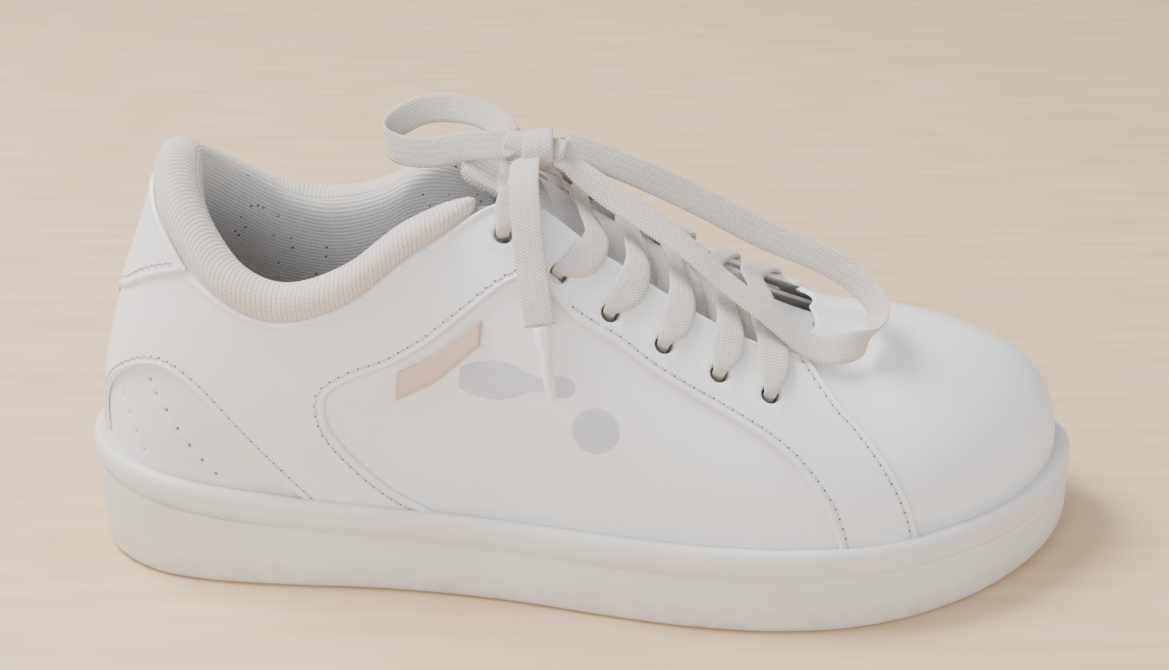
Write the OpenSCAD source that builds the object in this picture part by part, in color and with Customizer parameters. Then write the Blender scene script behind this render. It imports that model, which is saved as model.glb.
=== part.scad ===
// Lace-up bowling shoe for the right foot: rubber cup sole with flush bowling pads, a leather upper
// built in layers over a padded knit collar, a hinged tongue, a lift-out insole and a tied flat lace.
// The toe points along +X, the outer (lateral) side is -Y, and the sole stands on Z = 0.

/* [Sole] */
// Overall length of the cup sole
shoe_length = 290; // [280:1:300]
// Width added around the foot outline at the widest part of the sole wall
sole_wall = 9.4; // [9:0.1:10]
// Thickness of the rubber under the foot
sole_floor = 8; // [7:0.5:9]
// Thickness of the pads set into the underside
pad_t = 2; // [1.5:0.5:3]
// Depth from the top lip of the sole to the lower edge of its raised band
band_drop = 9; // [7:0.5:11]

/* [Upper] */
// Thickness of each leather panel
leather_t = 1.2; // [1:0.1:1.3]
// Thickness of the smooth lining
lining_t = 1; // [0.8:0.1:1.1]
// Thickness of the stiffeners between lining and leather
stiffener_t = 0.8; // [0.6:0.1:0.9]
// Thickness of the knit that covers the collar
knit_t = 1; // [0.8:0.1:1.1]
// Thickness of the padding in the tongue
tongue_pad_t = 4.2; // [3:0.2:5]

/* [Insole] */
// Thickness of the lift-out insole
insole_t = 3.4; // [2.5:0.1:4]

/* [Laces] */
// Width of the flat lace
lace_w = 9; // [7:0.5:9]
// Thickness of the flat lace
lace_t = 1.3; // [1.1:0.1:1.4]
// Diameter of the punched lace holes
hole_d = 5; // [4.8:0.1:5.4]
// Length of the aglets
aglet_l = 20; // [16:1:24]

/* [Hidden] */
k = shoe_length / 290;
LAT = -1;
MED = 1;
last = 15;

// The foot outline, heel to toe: one point per rib station, lateral side then medial side.
FOOT_LAT = [[-135.5, 0], [-132, -14], [-120, -24], [-103, -28.5], [-80, -30], [-57, -30.5],
    [-34, -32.5], [-10, -36.5], [14, -42], [37, -46], [60, -47], [82, -43], [103, -32.5],
    [120, -18], [131.5, -2], [136, 13]];
FOOT_MED = [[-135.5, 0], [-132, 14], [-120, 24], [-103, 28], [-80, 29], [-57, 28.5],
    [-34, 28.5], [-10, 30], [14, 34.5], [37, 40], [60, 44], [82, 45], [103, 42],
    [120, 35], [131.5, 25], [136, 13]];
// Height of the sole's top lip, of its underside and of the lasting board, by station
LIP_Z = [38, 37, 34.5, 32, 29.5, 27.5, 26.5, 26, 26, 26, 26, 25.5, 25.5, 25.5, 26.5, 27.5];
SPRING_Z = [1, 0.6, 0, 0, 0, 0, 0, 0, 0, 0, 0, 0, 0.3, 1.2, 2.6, 4];
BOARD_Z = [20, 20, 19.6, 19, 18, 17, 16, 15, 14.3, 13.8, 13.5, 13.3, 13.2, 13.2, 13.6, 14.2];

// Collar line, stations 0 to 6, with the lean of each rib at its foot and at its top
COLLAR_LAT = [[-111, 0, 116.5], [-108.5, -12, 110], [-101, -22, 100], [-90.5, -29, 90.5],
    [-76, -31.5, 86], [-58, -31, 92], [-40, -26, 105]];
COLLAR_MED = [[-111, 0, 116.5], [-108.5, 12, 111.5], [-101, 22, 103], [-90.5, 29, 94.5],
    [-76, 31, 91], [-58, 29.5, 95], [-40, 25, 105.5]];
FOOT_LEAN = [[4, 32], [4, 28], [4.5, 24], [5, 22], [5.5, 22], [6, 24], [6.5, 34]];
TOP_LEAN = [[9, 28], [8, 26], [5, 24], [2.5, 22], [2, 20], [3, 22], [5, 24]];

// Instep and toe ridge, stations 7 to 15, with the lower and upper handles of each rib
RIDGE = [[-17, 1, 117], [5, 3, 102.5], [26, 4.5, 89], [47, 6, 76.5], [66, 8, 67],
    [78, 9.5, 65], [87, 10.5, 63.7], [93, 11, 62.7], [96, 11.5, 62.2]];
LOW_HANDLE = [[-4, 8, 68], [-4, 6, 54], [-1, 5, 42], [1, 5, 34], [3, 5, 29], [4, 5, 27],
    [5, 4, 25], [6, 2.5, 24], [6, 0, 24]];
TOP_HANDLE_LAT = [[1, 20], [2, 21], [4, 23], [6, 25], [10, 27], [16, 25], [22, 18],
    [28, 8], [30, -2]];
TOP_HANDLE_MED = [[1, 18], [2, 19], [4, 21], [6, 23], [10, 25], [16, 23], [22, 18],
    [28, 10], [30, 2]];
// Share of each instep rib that lies below the collar line carried forward
SPLIT = [0.76, 0.78, 0.80, 0.82, 0.80, 0.74, 0.70, 0.66, 0.64];

// Layer offsets, outward from the foot side of the lining
stiff_o = lining_t + 0.3;
base_o = stiff_o + stiffener_t + 0.3;
over_o = base_o + leather_t + 0.2;
outer_o = over_o + leather_t;

function unit(v) = v / norm(v);
function spline(P, u) =
    let (n = len(P) - 1, i = min(max(floor(u), 0), n), t = u - i)
    t == 0 || i >= n ? P[i]
    : let (a = i > 0 ? P[i - 1] : 2 * P[0] - P[1], b = P[i], c = P[i + 1],
        d = i + 2 <= n ? P[i + 2] : 2 * P[n] - P[n - 1])
    0.5 * (2 * b + (c - a) * t + (2 * a - 5 * b + 4 * c - d) * t * t
        + (3 * b - a - 3 * c + d) * t * t * t);
// A list of stations with the other side's neighbours at both ends, so that lines run smoothly
// round the heel and the toe
function closed(own, other) = concat([other[1]], own, [other[last - 1]]);
FOOT_RING_LAT = closed(FOOT_LAT, FOOT_MED);
FOOT_RING_MED = closed(FOOT_MED, FOOT_LAT);
// The foot outline at a station
function foot(side, s) = k * spline(side < 0 ? FOOT_RING_LAT : FOOT_RING_MED, s + 1);
// Outward direction of the foot outline at a station, level with the ground
function outward(side, s) =
    s <= 0 ? [-1, 0] : s >= last ? [1, 0]
    : let (d = unit(foot(side, s + 0.4) - foot(side, s - 0.4))) side < 0 ? [d.y, -d.x] : [-d.y, d.x];
function rib_foot(side, i) = [each foot(side, i), LIP_Z[i] - 9];
function ridge_point(i) = k * (i < 7 ? RIDGE[0] + (7 - i) * [-20, -1, 11] : RIDGE[i - 7]);
function ridge_slope(j) =
    let (a = RIDGE[max(j - 1, 0)], b = RIDGE[min(j + 1, 8)]) (b.z - a.z) / (b.x - a.x);
// One rib: seven control points, foot to collar line, then on to the ridge
function rear_rib(side, i) =
    let (f = rib_foot(side, i), o = [each outward(side, i), 0], up = [0, 0, 1],
        t = k * (side < 0 ? COLLAR_LAT : COLLAR_MED)[i], r = ridge_point(i),
        a = f + FOOT_LEAN[i][0] * o + FOOT_LEAN[i][1] * up,
        b = t + TOP_LEAN[i][0] * o - TOP_LEAN[i][1] * up)
    [f, a, b, t, t + (t - b) * 0.5, r + [0, side * 10, 0], r];
function instep_rib(side, i) =
    let (j = i - 7, f = rib_foot(side, i), r = ridge_point(i), lo = LOW_HANDLE[j],
        hi = (side < 0 ? TOP_HANDLE_LAT : TOP_HANDLE_MED)[j], w = SPLIT[j],
        a = f + [lo[0], side * lo[1], lo[2]],
        b = r + [hi[0], side * hi[1], ridge_slope(j) * hi[0]],
        fa = f + (a - f) * w, ab = a + (b - a) * w, br = b + (r - b) * w,
        m = fa + (ab - fa) * w, n = ab + (br - ab) * w)
    [f, fa, m, m + (n - m) * w, n, br, r];
function rib(side, i) = i < 7 ? rear_rib(side, i) : instep_rib(side, i);
RIBS_LAT = [for (i = [0:last]) rib(LAT, i)];
RIBS_MED = [for (i = [0:last]) rib(MED, i)];
RING_LAT = closed(RIBS_LAT, RIBS_MED);
RING_MED = closed(RIBS_MED, RIBS_LAT);
function bezier(P, i, t) =
    let (m = 1 - t)
    m * m * m * P[i] + 3 * m * m * t * P[i + 1] + 3 * m * t * t * P[i + 2] + t * t * t * P[i + 3];
// A place on the foot side of the upper. s runs heel to toe, 0 to 15; t runs 0 at the sole,
// 1 at the collar line and 2 at the ridge over the instep and toe.
function skin(side, s, t) =
    let (P = spline(side < 0 ? RING_LAT : RING_MED, s + 1))
    t <= 1 ? bezier(P, 0, t) : bezier(P, 3, t - 1);
e = 0.01;
function skin_normal(side, s, t) =
    let (up = skin(side, s, min(t + e, 2)) - skin(side, s, max(t - e, 0)))
    t >= 2 ? let (d = skin(LAT, min(s + e, last), 2) - skin(LAT, s - e, 2)) unit([-d.z, 0, d.x])
    : s <= 0 ? unit(cross(up, [0, 1, 0]))
    : s >= last ? unit(cross([0, 1, 0], up))
    : -side * unit(cross(skin(side, s + e, t) - skin(side, s - e, t), up));
// The same place, moved out of the foot side by o
function on_skin(side, s, t, o) = skin(side, s, t) + o * skin_normal(side, s, t);
function rib_length(side, s) = norm(skin(side, s, 1) - skin(side, s, 0)) * 1.02;
// A place measured d below the collar line, or above it when d is negative
function by_collar(side, s, d, o) =
    d >= 0 ? on_skin(side, s, 1 - d / rib_length(side, s), o)
    : skin(side, s, 1) + unit(skin(side, s, 1) - skin(side, s, 0.97)) * -d
        + o * skin_normal(side, s, 1);
// Point a, 0 to 1, along a line of hand-set places [s, t]
function along(line, a) = spline(line, a * (len(line) - 1));

// A closed sheet between two grids of points, outer[i][j] and inner[i][j]. When fold is true the
// last row is one line folded on itself, as at the tip of the toe.
module sheet(outer, inner, flip = false, fold = false) {
    n = len(outer) - 1;
    m = len(outer[0]) - 1;
    size = (n + 1) * (m + 1);
    function at(layer, i, j) =
        layer * size + i * (m + 1) + (fold && i == n ? min(j, m - j) : j);
    function quad(a, b, c, d) =
        [for (f = [[a, b, c], [a, c, d]]) if (f[0] != f[1] && f[1] != f[2] && f[0] != f[2]) f];
    skins = [for (i = [0:n - 1], j = [0:m - 1], f = concat(
        quad(at(0, i, j), at(0, i + 1, j), at(0, i + 1, j + 1), at(0, i, j + 1)),
        quad(at(1, i, j + 1), at(1, i + 1, j + 1), at(1, i + 1, j), at(1, i, j)))) f];
    sides = [for (i = [0:n - 1], f = concat(
        quad(at(0, i + 1, 0), at(0, i, 0), at(1, i, 0), at(1, i + 1, 0)),
        quad(at(0, i, m), at(0, i + 1, m), at(1, i + 1, m), at(1, i, m)))) f];
    ends = [for (j = [0:m - 1], f = concat(
        quad(at(0, 0, j), at(0, 0, j + 1), at(1, 0, j + 1), at(1, 0, j)),
        fold ? [] : quad(at(0, n, j + 1), at(0, n, j), at(1, n, j), at(1, n, j + 1)))) f];
    faces = concat(skins, sides, ends);
    polyhedron(points = [for (g = [outer, inner], row = g, p = row) p],
        faces = flip ? [for (f = faces) [f[2], f[1], f[0]]] : faces);
}

// A panel on one side of the shoe, ruled between a low and a high line of places [s, t]
module panel(side, low, high, n, m, o_in, o_out) {
    function cell(i, j, o) =
        let (p = along(low, i / n), q = along(high, i / n), c = p + (q - p) * j / m)
        on_skin(side, c[0], c[1], o);
    sheet([for (i = [0:n]) [for (j = [0:m]) cell(i, j, o_out)]],
        [for (i = [0:n]) [for (j = [0:m]) cell(i, j, o_in)]], flip = side > 0);
}

// A panel round the toe, from the line [s, t] under the instep to the tip of the toe
module toe_hoop(rear, n, m, o_in, o_out) {
    function place(i, j, o) =
        let (side = j <= m ? LAT : MED, c = along(rear, (j <= m ? j : 2 * m - j) / m),
            s = c[0] + (last - c[0]) * i / n, t = c[1])
        on_skin(j == m ? LAT : side, s, t, o);
    sheet([for (i = [0:n]) [for (j = [0:2 * m]) place(i, j, o_out)]],
        [for (i = [0:n]) [for (j = [0:2 * m]) place(i, j, o_in)]], fold = true);
}

// A panel round the heel, between a low and a high line that run from the back to the front
module heel_wrap(low, high, n, m, o_in, o_out) {
    function place(i, j, o) =
        let (a = abs(i - n) / n, p = along(low, a), q = along(high, a), c = p + (q - p) * j / m)
        on_skin(i < n ? MED : LAT, c[0], c[1], o);
    sheet([for (i = [0:2 * n]) [for (j = [0:m]) place(i, j, o_out)]],
        [for (i = [0:2 * n]) [for (j = [0:m]) place(i, j, o_in)]]);
}

// A level slab inside the foot outline, grown by edge, between two lists of heights by station
module slab(edge, low, high, n = 30) {
    cols = [for (i = [0:n]) i * last / n];
    rim = [for (s = cols) [for (side = [LAT, MED]) foot(side, s) + edge * outward(side, s)]];
    function at(top, i, side) = top * 2 * (n + 1) + 2 * i + (i == 0 || i == n ? 0 : side);
    pts = [for (z = [low, high], i = [0:n], p = rim[i]) [p.x, p.y, spline(z, cols[i])]];
    quads = [for (i = [0:n - 1], q = [
        [at(1, i, 0), at(1, i, 1), at(1, i + 1, 1), at(1, i + 1, 0)],
        [at(0, i, 1), at(0, i, 0), at(0, i + 1, 0), at(0, i + 1, 1)],
        [at(0, i, 0), at(1, i, 0), at(1, i + 1, 0), at(0, i + 1, 0)],
        [at(1, i, 1), at(0, i, 1), at(0, i + 1, 1), at(1, i + 1, 1)]]) q];
    polyhedron(points = pts, faces = [for (q = quads, f = [[q[0], q[1], q[2]], [q[0], q[2], q[3]]])
        if (f[0] != f[1] && f[1] != f[2] && f[0] != f[2]) f]);
}

// --- Sole -------------------------------------------------------------------------------------
// Strength of the raised band, which fades towards the toe
function band(s) = s < 9 ? 1 : s > 13 ? 0.3 : 1 - 0.7 * (s - 9) / 4;
// Wall of the cup, from the underside out, up, over the lip and down inside: [offset, height]
function wall_profile(s) =
    let (z = spline(LIP_Z, s), b = spline(SPRING_Z, s), g = band(s), w = sole_wall)
    [[w - 3, b], [w - 0.9, b + 0.5], [w, b + 2.2], [w + 0.2, b + 6], [w, z - band_drop - 1.4],
        [w - 0.7 * g, z - band_drop - 0.5], [w + 0.1, z - band_drop + 0.5],
        [w + 0.5 * g, z - 5.5], [w + 0.2 * g, z - 2.4], [w - 1, z - 0.5], [w - 1.9, z],
        [w - 2.7, z - 0.6], [w - 2.9, z - 2.5], [w - 3, sole_floor]];
module cup_shape(n = 34) {
    cols = concat([for (i = [0:n]) [LAT, i * last / n]],
        [for (i = [1:n - 1]) [MED, (n - i) * last / n]]);
    c = len(cols);
    rings = [for (q = cols) [for (w = wall_profile(q[1]))
        [each foot(q[0], q[1]) + w[0] * outward(q[0], q[1]), w[1]]]];
    r = len(rings[0]);
    wall = [for (i = [0:c - 1], j = [0:r - 2])
        let (a = i * r + j, b = ((i + 1) % c) * r + j) each [[a, a + 1, b + 1], [a, b + 1, b]]];
    // The underside and the floor are strips across from the lateral to the medial side
    strips = [for (i = [0:n - 1], j = [0, r - 1])
        let (a = i * r + j, b = (i + 1) * r + j, d = ((c - i) % c) * r + j,
            f = (c - i - 1) * r + j, out = [[a, b, f], [a, f, d]])
        each [for (g = out) if (g[0] != g[1] && g[1] != g[2] && g[0] != g[2])
            j == 0 ? g : [g[2], g[1], g[0]]]];
    polyhedron(points = [for (ring = rings, p = ring) p],
        faces = [for (f = concat(wall, strips)) [f[2], f[1], f[0]]]);
}
// Outline of an inset pad between two stations, shrunk by inset
function pad_outline(s0, s1, inset) =
    let (n = 12)
    [for (i = [0:n]) let (s = s0 + (s1 - s0) * i / n)
        foot(LAT, s) - inset * outward(LAT, s),
     for (i = [n:-1:0]) let (s = s0 + (s1 - s0) * i / n)
        foot(MED, s) - inset * outward(MED, s)];
module cup_sole() {
    color("gainsboro") difference() {
        cup_shape();
        translate([0, 0, -1]) linear_extrude(pad_t + 1.2) polygon(pad_outline(8.4, 12, 1));
        translate([0, 0, -1]) linear_extrude(pad_t + 1.2) polygon(pad_outline(1.5, 4.6, 1));
    }
}
module slide_pad() {
    color("tan") linear_extrude(pad_t) polygon(pad_outline(8.42, 11.98, 1.4));
}
module heel_pad() {
    color("dimgray") linear_extrude(pad_t) polygon(pad_outline(1.52, 4.58, 1.4));
}
function shifted(Z, d) = [for (z = Z) z + d];
board_t = 1.6;
module midsole_wedge() {
    color("whitesmoke")
        slab(5, [for (z = BOARD_Z) sole_floor + 0.2], shifted(BOARD_Z, -board_t - 0.2));
}
module lasting_board() {
    color("burlywood") slab(4, shifted(BOARD_Z, -board_t), BOARD_Z);
}
module insole() {
    color("lightgray") slab(-0.8, shifted(BOARD_Z, 0.4), shifted(BOARD_Z, 0.4 + insole_t));
}

// --- Seam lines, each a list of places [s, t] ---------------------------------------------------
EYESTAY_LOW = [[7.25, 0.68], [7.65, 0.61], [8.1, 0.60], [8.5, 0.56], [8.9, 0.53], [9.3, 0.50],
    [9.75, 0.45], [10.05, 0.39], [10.28, 0.31], [10.45, 0.22], [10.57, 0.11], [10.65, 0]];
EYESTAY_HIGH = [[7.25, 0.935], [7.7, 0.91], [8.2, 0.89], [8.75, 0.855], [9.25, 0.825],
    [9.8, 0.805], [10.45, 0.83], [10.72, 0.67], [10.95, 0.58], [11.2, 0.44], [11.42, 0.25],
    [11.6, 0]];
SIDE_WINDOW = [[6.45, -0.1], [6.25, 0], [5.8, 0.09], [5.35, 0.18], [4.95, 0.31], [4.65, 0.44],
    [4.57, 0.54], [4.66, 0.61], [5.05, 0.64], [5.6, 0.62], [6.2, 0.615], [6.7, 0.62],
    [7.15, 0.665], [7.6, 0.70], [7.8, 0.4], [7.8, -0.1]];
HEEL_WINDOW = [[0.62, -0.1], [0.62, 0.05], [0.72, 0.2], [1.05, 0.33], [1.55, 0.46], [2, 0.525],
    [2.5, 0.53], [2.95, 0.485], [3.35, 0.40], [3.7, 0.30], [4, 0.20], [4.3, 0.10], [4.6, -0.1]];
QUARTER_HIGH = [[0, 0.50], [0.7, 0.60], [1.3, 0.735], [2.05, 0.905], [2.75, 0.93],
    [3.45, 0.935], [4.15, 0.94], [4.85, 0.94], [5.5, 0.94], [6.1, 0.94], [6.7, 0.94],
    [7.21, 0.935]];
QUARTER_LOW = [for (i = [0:11]) [7.21 * i / 11, 0]];
TAB_LOW = [[0, 0.515], [0.7, 0.615], [1.3, 0.75], [1.85, 0.87]];
TAB_HIGH = [[0, 0.93], [0.7, 0.93], [1.3, 0.92], [1.9, 0.90]];
SIDE_PANEL_LOW = [[5.1, 0], [6.2, 0], [7.4, 0], [8.3, 0], [9.2, 0], [10, 0], [10.6, 0], [10.9, 0]];
SIDE_PANEL_HIGH = [[4.2, 0.52], [5.1, 0.68], [6.2, 0.66], [7.2, 0.72], [8.3, 0.62],
    [9.3, 0.54], [10.1, 0.43], [10.75, 0.12]];
HEEL_PANEL_LOW = [[0, 0], [1.1, 0], [2.2, 0], [3.4, 0], [4.75, 0]];
HEEL_PANEL_HIGH = [[0, 0.50], [1.1, 0.55], [2.2, 0.62], [3.2, 0.52], [4.6, 0.12]];
VAMP_REAR = [[11.2, 0], [10.98, 0.25], [10.75, 0.45], [10.5, 0.63], [10.42, 0.76], [10.62, 0.94],
    [10.85, 1.2], [10.97, 1.6], [11, 2]];
PUFF_REAR = [[12.6, 0], [12.5, 0.5], [12.4, 1], [12.4, 1.5], [12.4, 2]];
LINING_REAR = [[10.95, 0], [10.95, 0.3], [10.95, 0.6], [10.95, 1], [11.05, 1.5], [11.06, 2]];

// Lace holes [s, t], top pair first
HOLES = [[6.93, 0.81], [7.5, 0.72], [8.1, 0.69], [8.7, 0.66], [9.32, 0.63], [9.9, 0.61]];
module lace_holes(side, first, final) {
    for (i = [first:final]) {
        p = on_skin(side, HOLES[i][0], HOLES[i][1], 0);
        n = skin_normal(side, HOLES[i][0], HOLES[i][1]);
        translate(p) rotate([0, acos(n.z), atan2(n.y, n.x)])
            translate([0, 0, -3]) cylinder(h = 12, d = hole_d, $fn = 32);
    }
}
// A cutter through one side of the shoe, in the outline of a line of places
module side_cut(side, line) {
    pts = [for (q = line) let (p = q[1] < 0
        ? on_skin(side, q[0], 0, over_o) + [0, 0, q[1] * 90]
        : on_skin(side, q[0], q[1], over_o)) [p.x, p.z]];
    rotate([90, 0, 0]) translate([0, 0, side < 0 ? 0 : -80]) linear_extrude(80) polygon(pts);
}

// --- Upper --------------------------------------------------------------------------------------
module toe_vamp() {
    color("white") toe_hoop(VAMP_REAR, 16, 12, base_o, base_o + leather_t);
}
module toe_puff() {
    color("beige") toe_hoop(PUFF_REAR, 12, 12, stiff_o, stiff_o + stiffener_t);
}
module vamp_lining() {
    color("lightsteelblue") toe_hoop(LINING_REAR, 16, 12, 0, lining_t);
}
module side_panel(side) {
    color("white") panel(side, SIDE_PANEL_LOW, SIDE_PANEL_HIGH, 16, 7, base_o, base_o + leather_t);
}
module side_panel_lateral() { side_panel(LAT); }
module side_panel_medial() { side_panel(MED); }
module quarter(side) {
    color("white") difference() {
        panel(side, QUARTER_LOW, QUARTER_HIGH, 22, 10, over_o, outer_o);
        side_cut(side, SIDE_WINDOW);
        side_cut(side, HEEL_WINDOW);
        lace_holes(side, 0, 0);
    }
}
module quarter_lateral() { quarter(LAT); }
module quarter_medial() { quarter(MED); }
module heel_panel() {
    color("ghostwhite")
        heel_wrap(HEEL_PANEL_LOW, HEEL_PANEL_HIGH, 12, 6, base_o, base_o + leather_t);
}
module heel_stiffener() {
    color("beige") heel_wrap(HEEL_PANEL_LOW, HEEL_PANEL_HIGH, 9, 5, stiff_o, stiff_o + stiffener_t);
}
module heel_tab() {
    color("white") heel_wrap(TAB_LOW, TAB_HIGH, 7, 5, over_o, outer_o);
}
module eyestay(side) {
    color("white") difference() {
        panel(side, EYESTAY_LOW, EYESTAY_HIGH, 26, 6, over_o, outer_o);
        lace_holes(side, 1, 5);
    }
}
module eyestay_lateral() { eyestay(LAT); }
module eyestay_medial() { eyestay(MED); }
// The reinforcing strip behind the lace holes
STAY_LOW = [[7.25, 0.62], [7.8, 0.58], [8.4, 0.55], [9, 0.53], [9.6, 0.51], [10.2, 0.50]];
STAY_HIGH = [[7.25, 0.92], [7.8, 0.87], [8.4, 0.83], [9, 0.79], [9.6, 0.775], [10.2, 0.78]];
module eyelet_stay(side) {
    color("beige") difference() {
        panel(side, STAY_LOW, STAY_HIGH, 12, 5, stiff_o, stiff_o + stiffener_t);
        lace_holes(side, 1, 5);
    }
}
module eyelet_stay_lateral() { eyelet_stay(LAT); }
module eyelet_stay_medial() { eyelet_stay(MED); }
LINING_LOW = [for (i = [0:6]) [6.66 + 4.24 * i / 6, 0]];
LINING_HIGH = [[6.66, 0.97], [7.3, 0.92], [8, 0.86], [8.75, 0.82], [9.5, 0.79], [10.3, 0.80],
    [10.9, 0.84]];
module quarter_lining(side) {
    color("lightsteelblue") difference() {
        panel(side, LINING_LOW, LINING_HIGH, 14, 8, 0, lining_t);
        lace_holes(side, 0, 5);
    }
}
module quarter_lining_lateral() { quarter_lining(LAT); }
module quarter_lining_medial() { quarter_lining(MED); }

// The collar, as paths of [offset, depth below the collar line] swept round the ankle
collar_end = 6.6;
// How far the padding stands in towards the ankle, full at the back and thin at the front end
function swell(s) = s < 5.4 ? 1 : 1 - 0.8 * (s - 5.4) / (collar_end - 5.4);
KNIT_OUT = [[3.3, 9], [3.45, 4.7], [4.6, 2.9], [5.4, 0.4], [4.6, -2.6], [2.4, -4.6], [-0.6, -5.2],
    [-3.6, -4.3], [-5.9, -1.9], [-6.8, 2], [-6.6, 9], [-5.2, 18], [-2.8, 29], [-0.9, 40], [0, 48]];
KNIT_IN = [[2.3, 9], [2.45, 5.1], [3.6, 3.2], [4.3, 0.4], [3.7, -1.9], [1.9, -3.5], [-0.6, -4.1],
    [-3.0, -3.3], [-4.9, -1.4], [-5.7, 2], [-5.5, 9], [-4.1, 18], [-1.7, 29], [0.1, 40], [1, 48]];
FOAM_OUT = [[2.0, 9.5], [2.15, 5.3], [3.3, 3.4], [4.0, 0.4], [3.4, -1.7], [1.8, -3.2], [-0.6, -3.8]];
FOAM_IN = [[1.15, 27], [-1.2, 25.5], [-3.7, 18], [-5.1, 9], [-5.3, 2], [-4.5, -1.2], [-2.8, -3]];
function collar_place(side, s, q) =
    by_collar(side, s, q[1] < 0 ? q[1] * (0.4 + 0.6 * swell(s)) : q[1],
        q[0] < 0 ? q[0] * swell(s) : q[0]);
function collar_columns(n) = [for (i = [-n:n]) [i < 0 ? MED : LAT, abs(i) * collar_end / n]];
module collar_lining() {
    cols = collar_columns(18);
    function leg(q, o) = [on_skin(q[0], q[1], 0.14, o), on_skin(q[0], q[1], 0, o)];
    outer = [for (q = cols) concat([for (w = KNIT_OUT) collar_place(q[0], q[1], w)],
        leg(q, 0))];
    inner = [for (q = cols) concat([for (w = KNIT_IN) collar_place(q[0], q[1], w)],
        leg(q, knit_t))];
    color("antiquewhite") sheet(outer, inner, flip = true);
}
module collar_foam() {
    cols = collar_columns(18);
    color("khaki") sheet([for (q = cols) [for (w = FOAM_OUT) collar_place(q[0], q[1], w)]],
        [for (q = cols) [for (w = FOAM_IN) collar_place(q[0], q[1], w)]], flip = true);
}

// --- Tongue -------------------------------------------------------------------------------------
tongue_o = -2.5;
tongue_gap = 0.35;
pad_o = tongue_o - 1 - tongue_gap;
tongue_lining_o = pad_o - tongue_pad_t - tongue_gap;
TONGUE_EDGE = [[6.5, 1.5], [6.62, 1.36], [6.85, 1.18], [7.12, 0.98], [7.5, 0.84], [8, 0.76],
    [8.6, 0.73], [9.3, 0.71], [10, 0.72], [10.6, 0.78], [11.2, 0.9]];
module tongue_layer(o_in, o_out, n = 14, m = 6) {
    function place(i, j, o) =
        let (c = along(TONGUE_EDGE, i / n), u = abs(j - m) / m)
        on_skin(j <= m ? LAT : MED, c[0], 2 + (c[1] - 2) * u, o);
    sheet([for (i = [0:n]) [for (j = [0:2 * m]) place(i, j, o_out)]],
        [for (i = [0:n]) [for (j = [0:2 * m]) place(i, j, o_in)]]);
}
module tongue_face() {
    color("white") tongue_layer(tongue_o - 1, tongue_o);
}
module tongue_padding() {
    color("khaki") tongue_layer(pad_o - tongue_pad_t, pad_o);
}
module tongue_lining() {
    color("antiquewhite") tongue_layer(tongue_lining_o - 0.8, tongue_lining_o);
}

// --- Side tab -----------------------------------------------------------------------------------
TAB_TOP = [[5.62, 0.585], [6.15, 0.572], [6.68, 0.572]];
TAB_BOTTOM = [[5.56, 0.50], [6.1, 0.495], [6.64, 0.505]];
module side_tab() {
    color("mistyrose")
        panel(LAT, TAB_BOTTOM, TAB_TOP, 6, 2, base_o + leather_t + 0.35, base_o + leather_t + 1.75);
}

// --- Laces --------------------------------------------------------------------------------------
// A flat lace swept through points; across gives its width direction, widths its width, at each
module lace(points, across, widths, thick) {
    n = len(points) - 1;
    function ring(i) =
        let (d = unit(points[min(i + 1, n)] - points[max(i - 1, 0)]),
            w = unit(across[i] - (across[i] * d) * d), u = cross(d, w),
            a = widths[i] / 2, b = thick / 2, c = b * 0.7)
        [for (q = [[a, 0], [a - c, b], [0, b * 1.02], [c - a, b], [-a, 0], [c - a, -b], [0, -b * 1.02],
            [a - c, -b]]) points[i] + q.x * w + q.y * u];
    body = [for (i = [0:n - 1], j = [0:7])
        let (a = i * 8 + j, b = i * 8 + (j + 1) % 8) each [[a, b, b + 8], [a, b + 8, a + 8]]];
    caps = concat([for (j = [1:6]) [0, j + 1, j]],
        [for (j = [1:6]) [n * 8, n * 8 + j, n * 8 + j + 1]]);
    polyhedron(points = [for (i = [0:n], p = ring(i)) p],
        faces = [for (f = concat(body, caps)) [f[2], f[1], f[0]]]);
}
function rib_tangent(side, s, t) = unit(skin(side, s + 0.05, t) - skin(side, s - 0.05, t));
// Where each row of holes is nearest the edge of the throat, and how far forward of its hole a
// lace comes over that edge, in stations
THROAT_EDGE = [0.945, 0.92, 0.895, 0.86, 0.825, 0.805];
SLANT = [0, 0.4, 0.3, 0.22, 0.16, 0.1];
lace_over = outer_o + 1.3;
lace_under = -1.15;
slim = hole_d * 0.7;
mid_w = lace_w * 0.58;
// One crossing, from inside hole i on one side, out under that edge of the throat, over the other
// edge and down into the next hole above: rows of [side, s, t, offset, width]
function crossing(side, i, rise) =
    let (a = HOLES[i], b = HOLES[i - 1], ta = THROAT_EDGE[i], tb = THROAT_EDGE[i - 1],
        mid = (a[0] + b[0]) / 2, edge = b[0] + SLANT[i - 1])
    [[side, a[0], a[1] + 0.01, lace_under + 0.45, slim],
     [side, a[0], a[1] + 0.4 * (ta - a[1]), lace_under, slim + 1.5],
     [side, a[0] - 0.02, ta - 0.02, lace_under, mid_w],
     [side, a[0] * 0.9 + b[0] * 0.1, 1, 0, mid_w],
     [side, a[0] * 0.8 + b[0] * 0.2, 1.25, 0.9, mid_w],
     [side, mid, 2, rise, mid_w],
     [-side, (mid + edge) / 2, 1.25, 3, mid_w],
     [-side, edge, tb + 0.01, lace_over, lace_w * 0.85],
     [-side, b[0] + 0.6 * SLANT[i - 1], b[1] + 0.45 * (tb - b[1]), lace_over, lace_w],
     [-side, b[0], b[1] + 0.01, outer_o + 0.75, slim + 0.4],
     [-side, b[0], b[1], 2.4, slim], [-side, b[0], b[1] - 0.01, -0.7, slim]];
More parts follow.
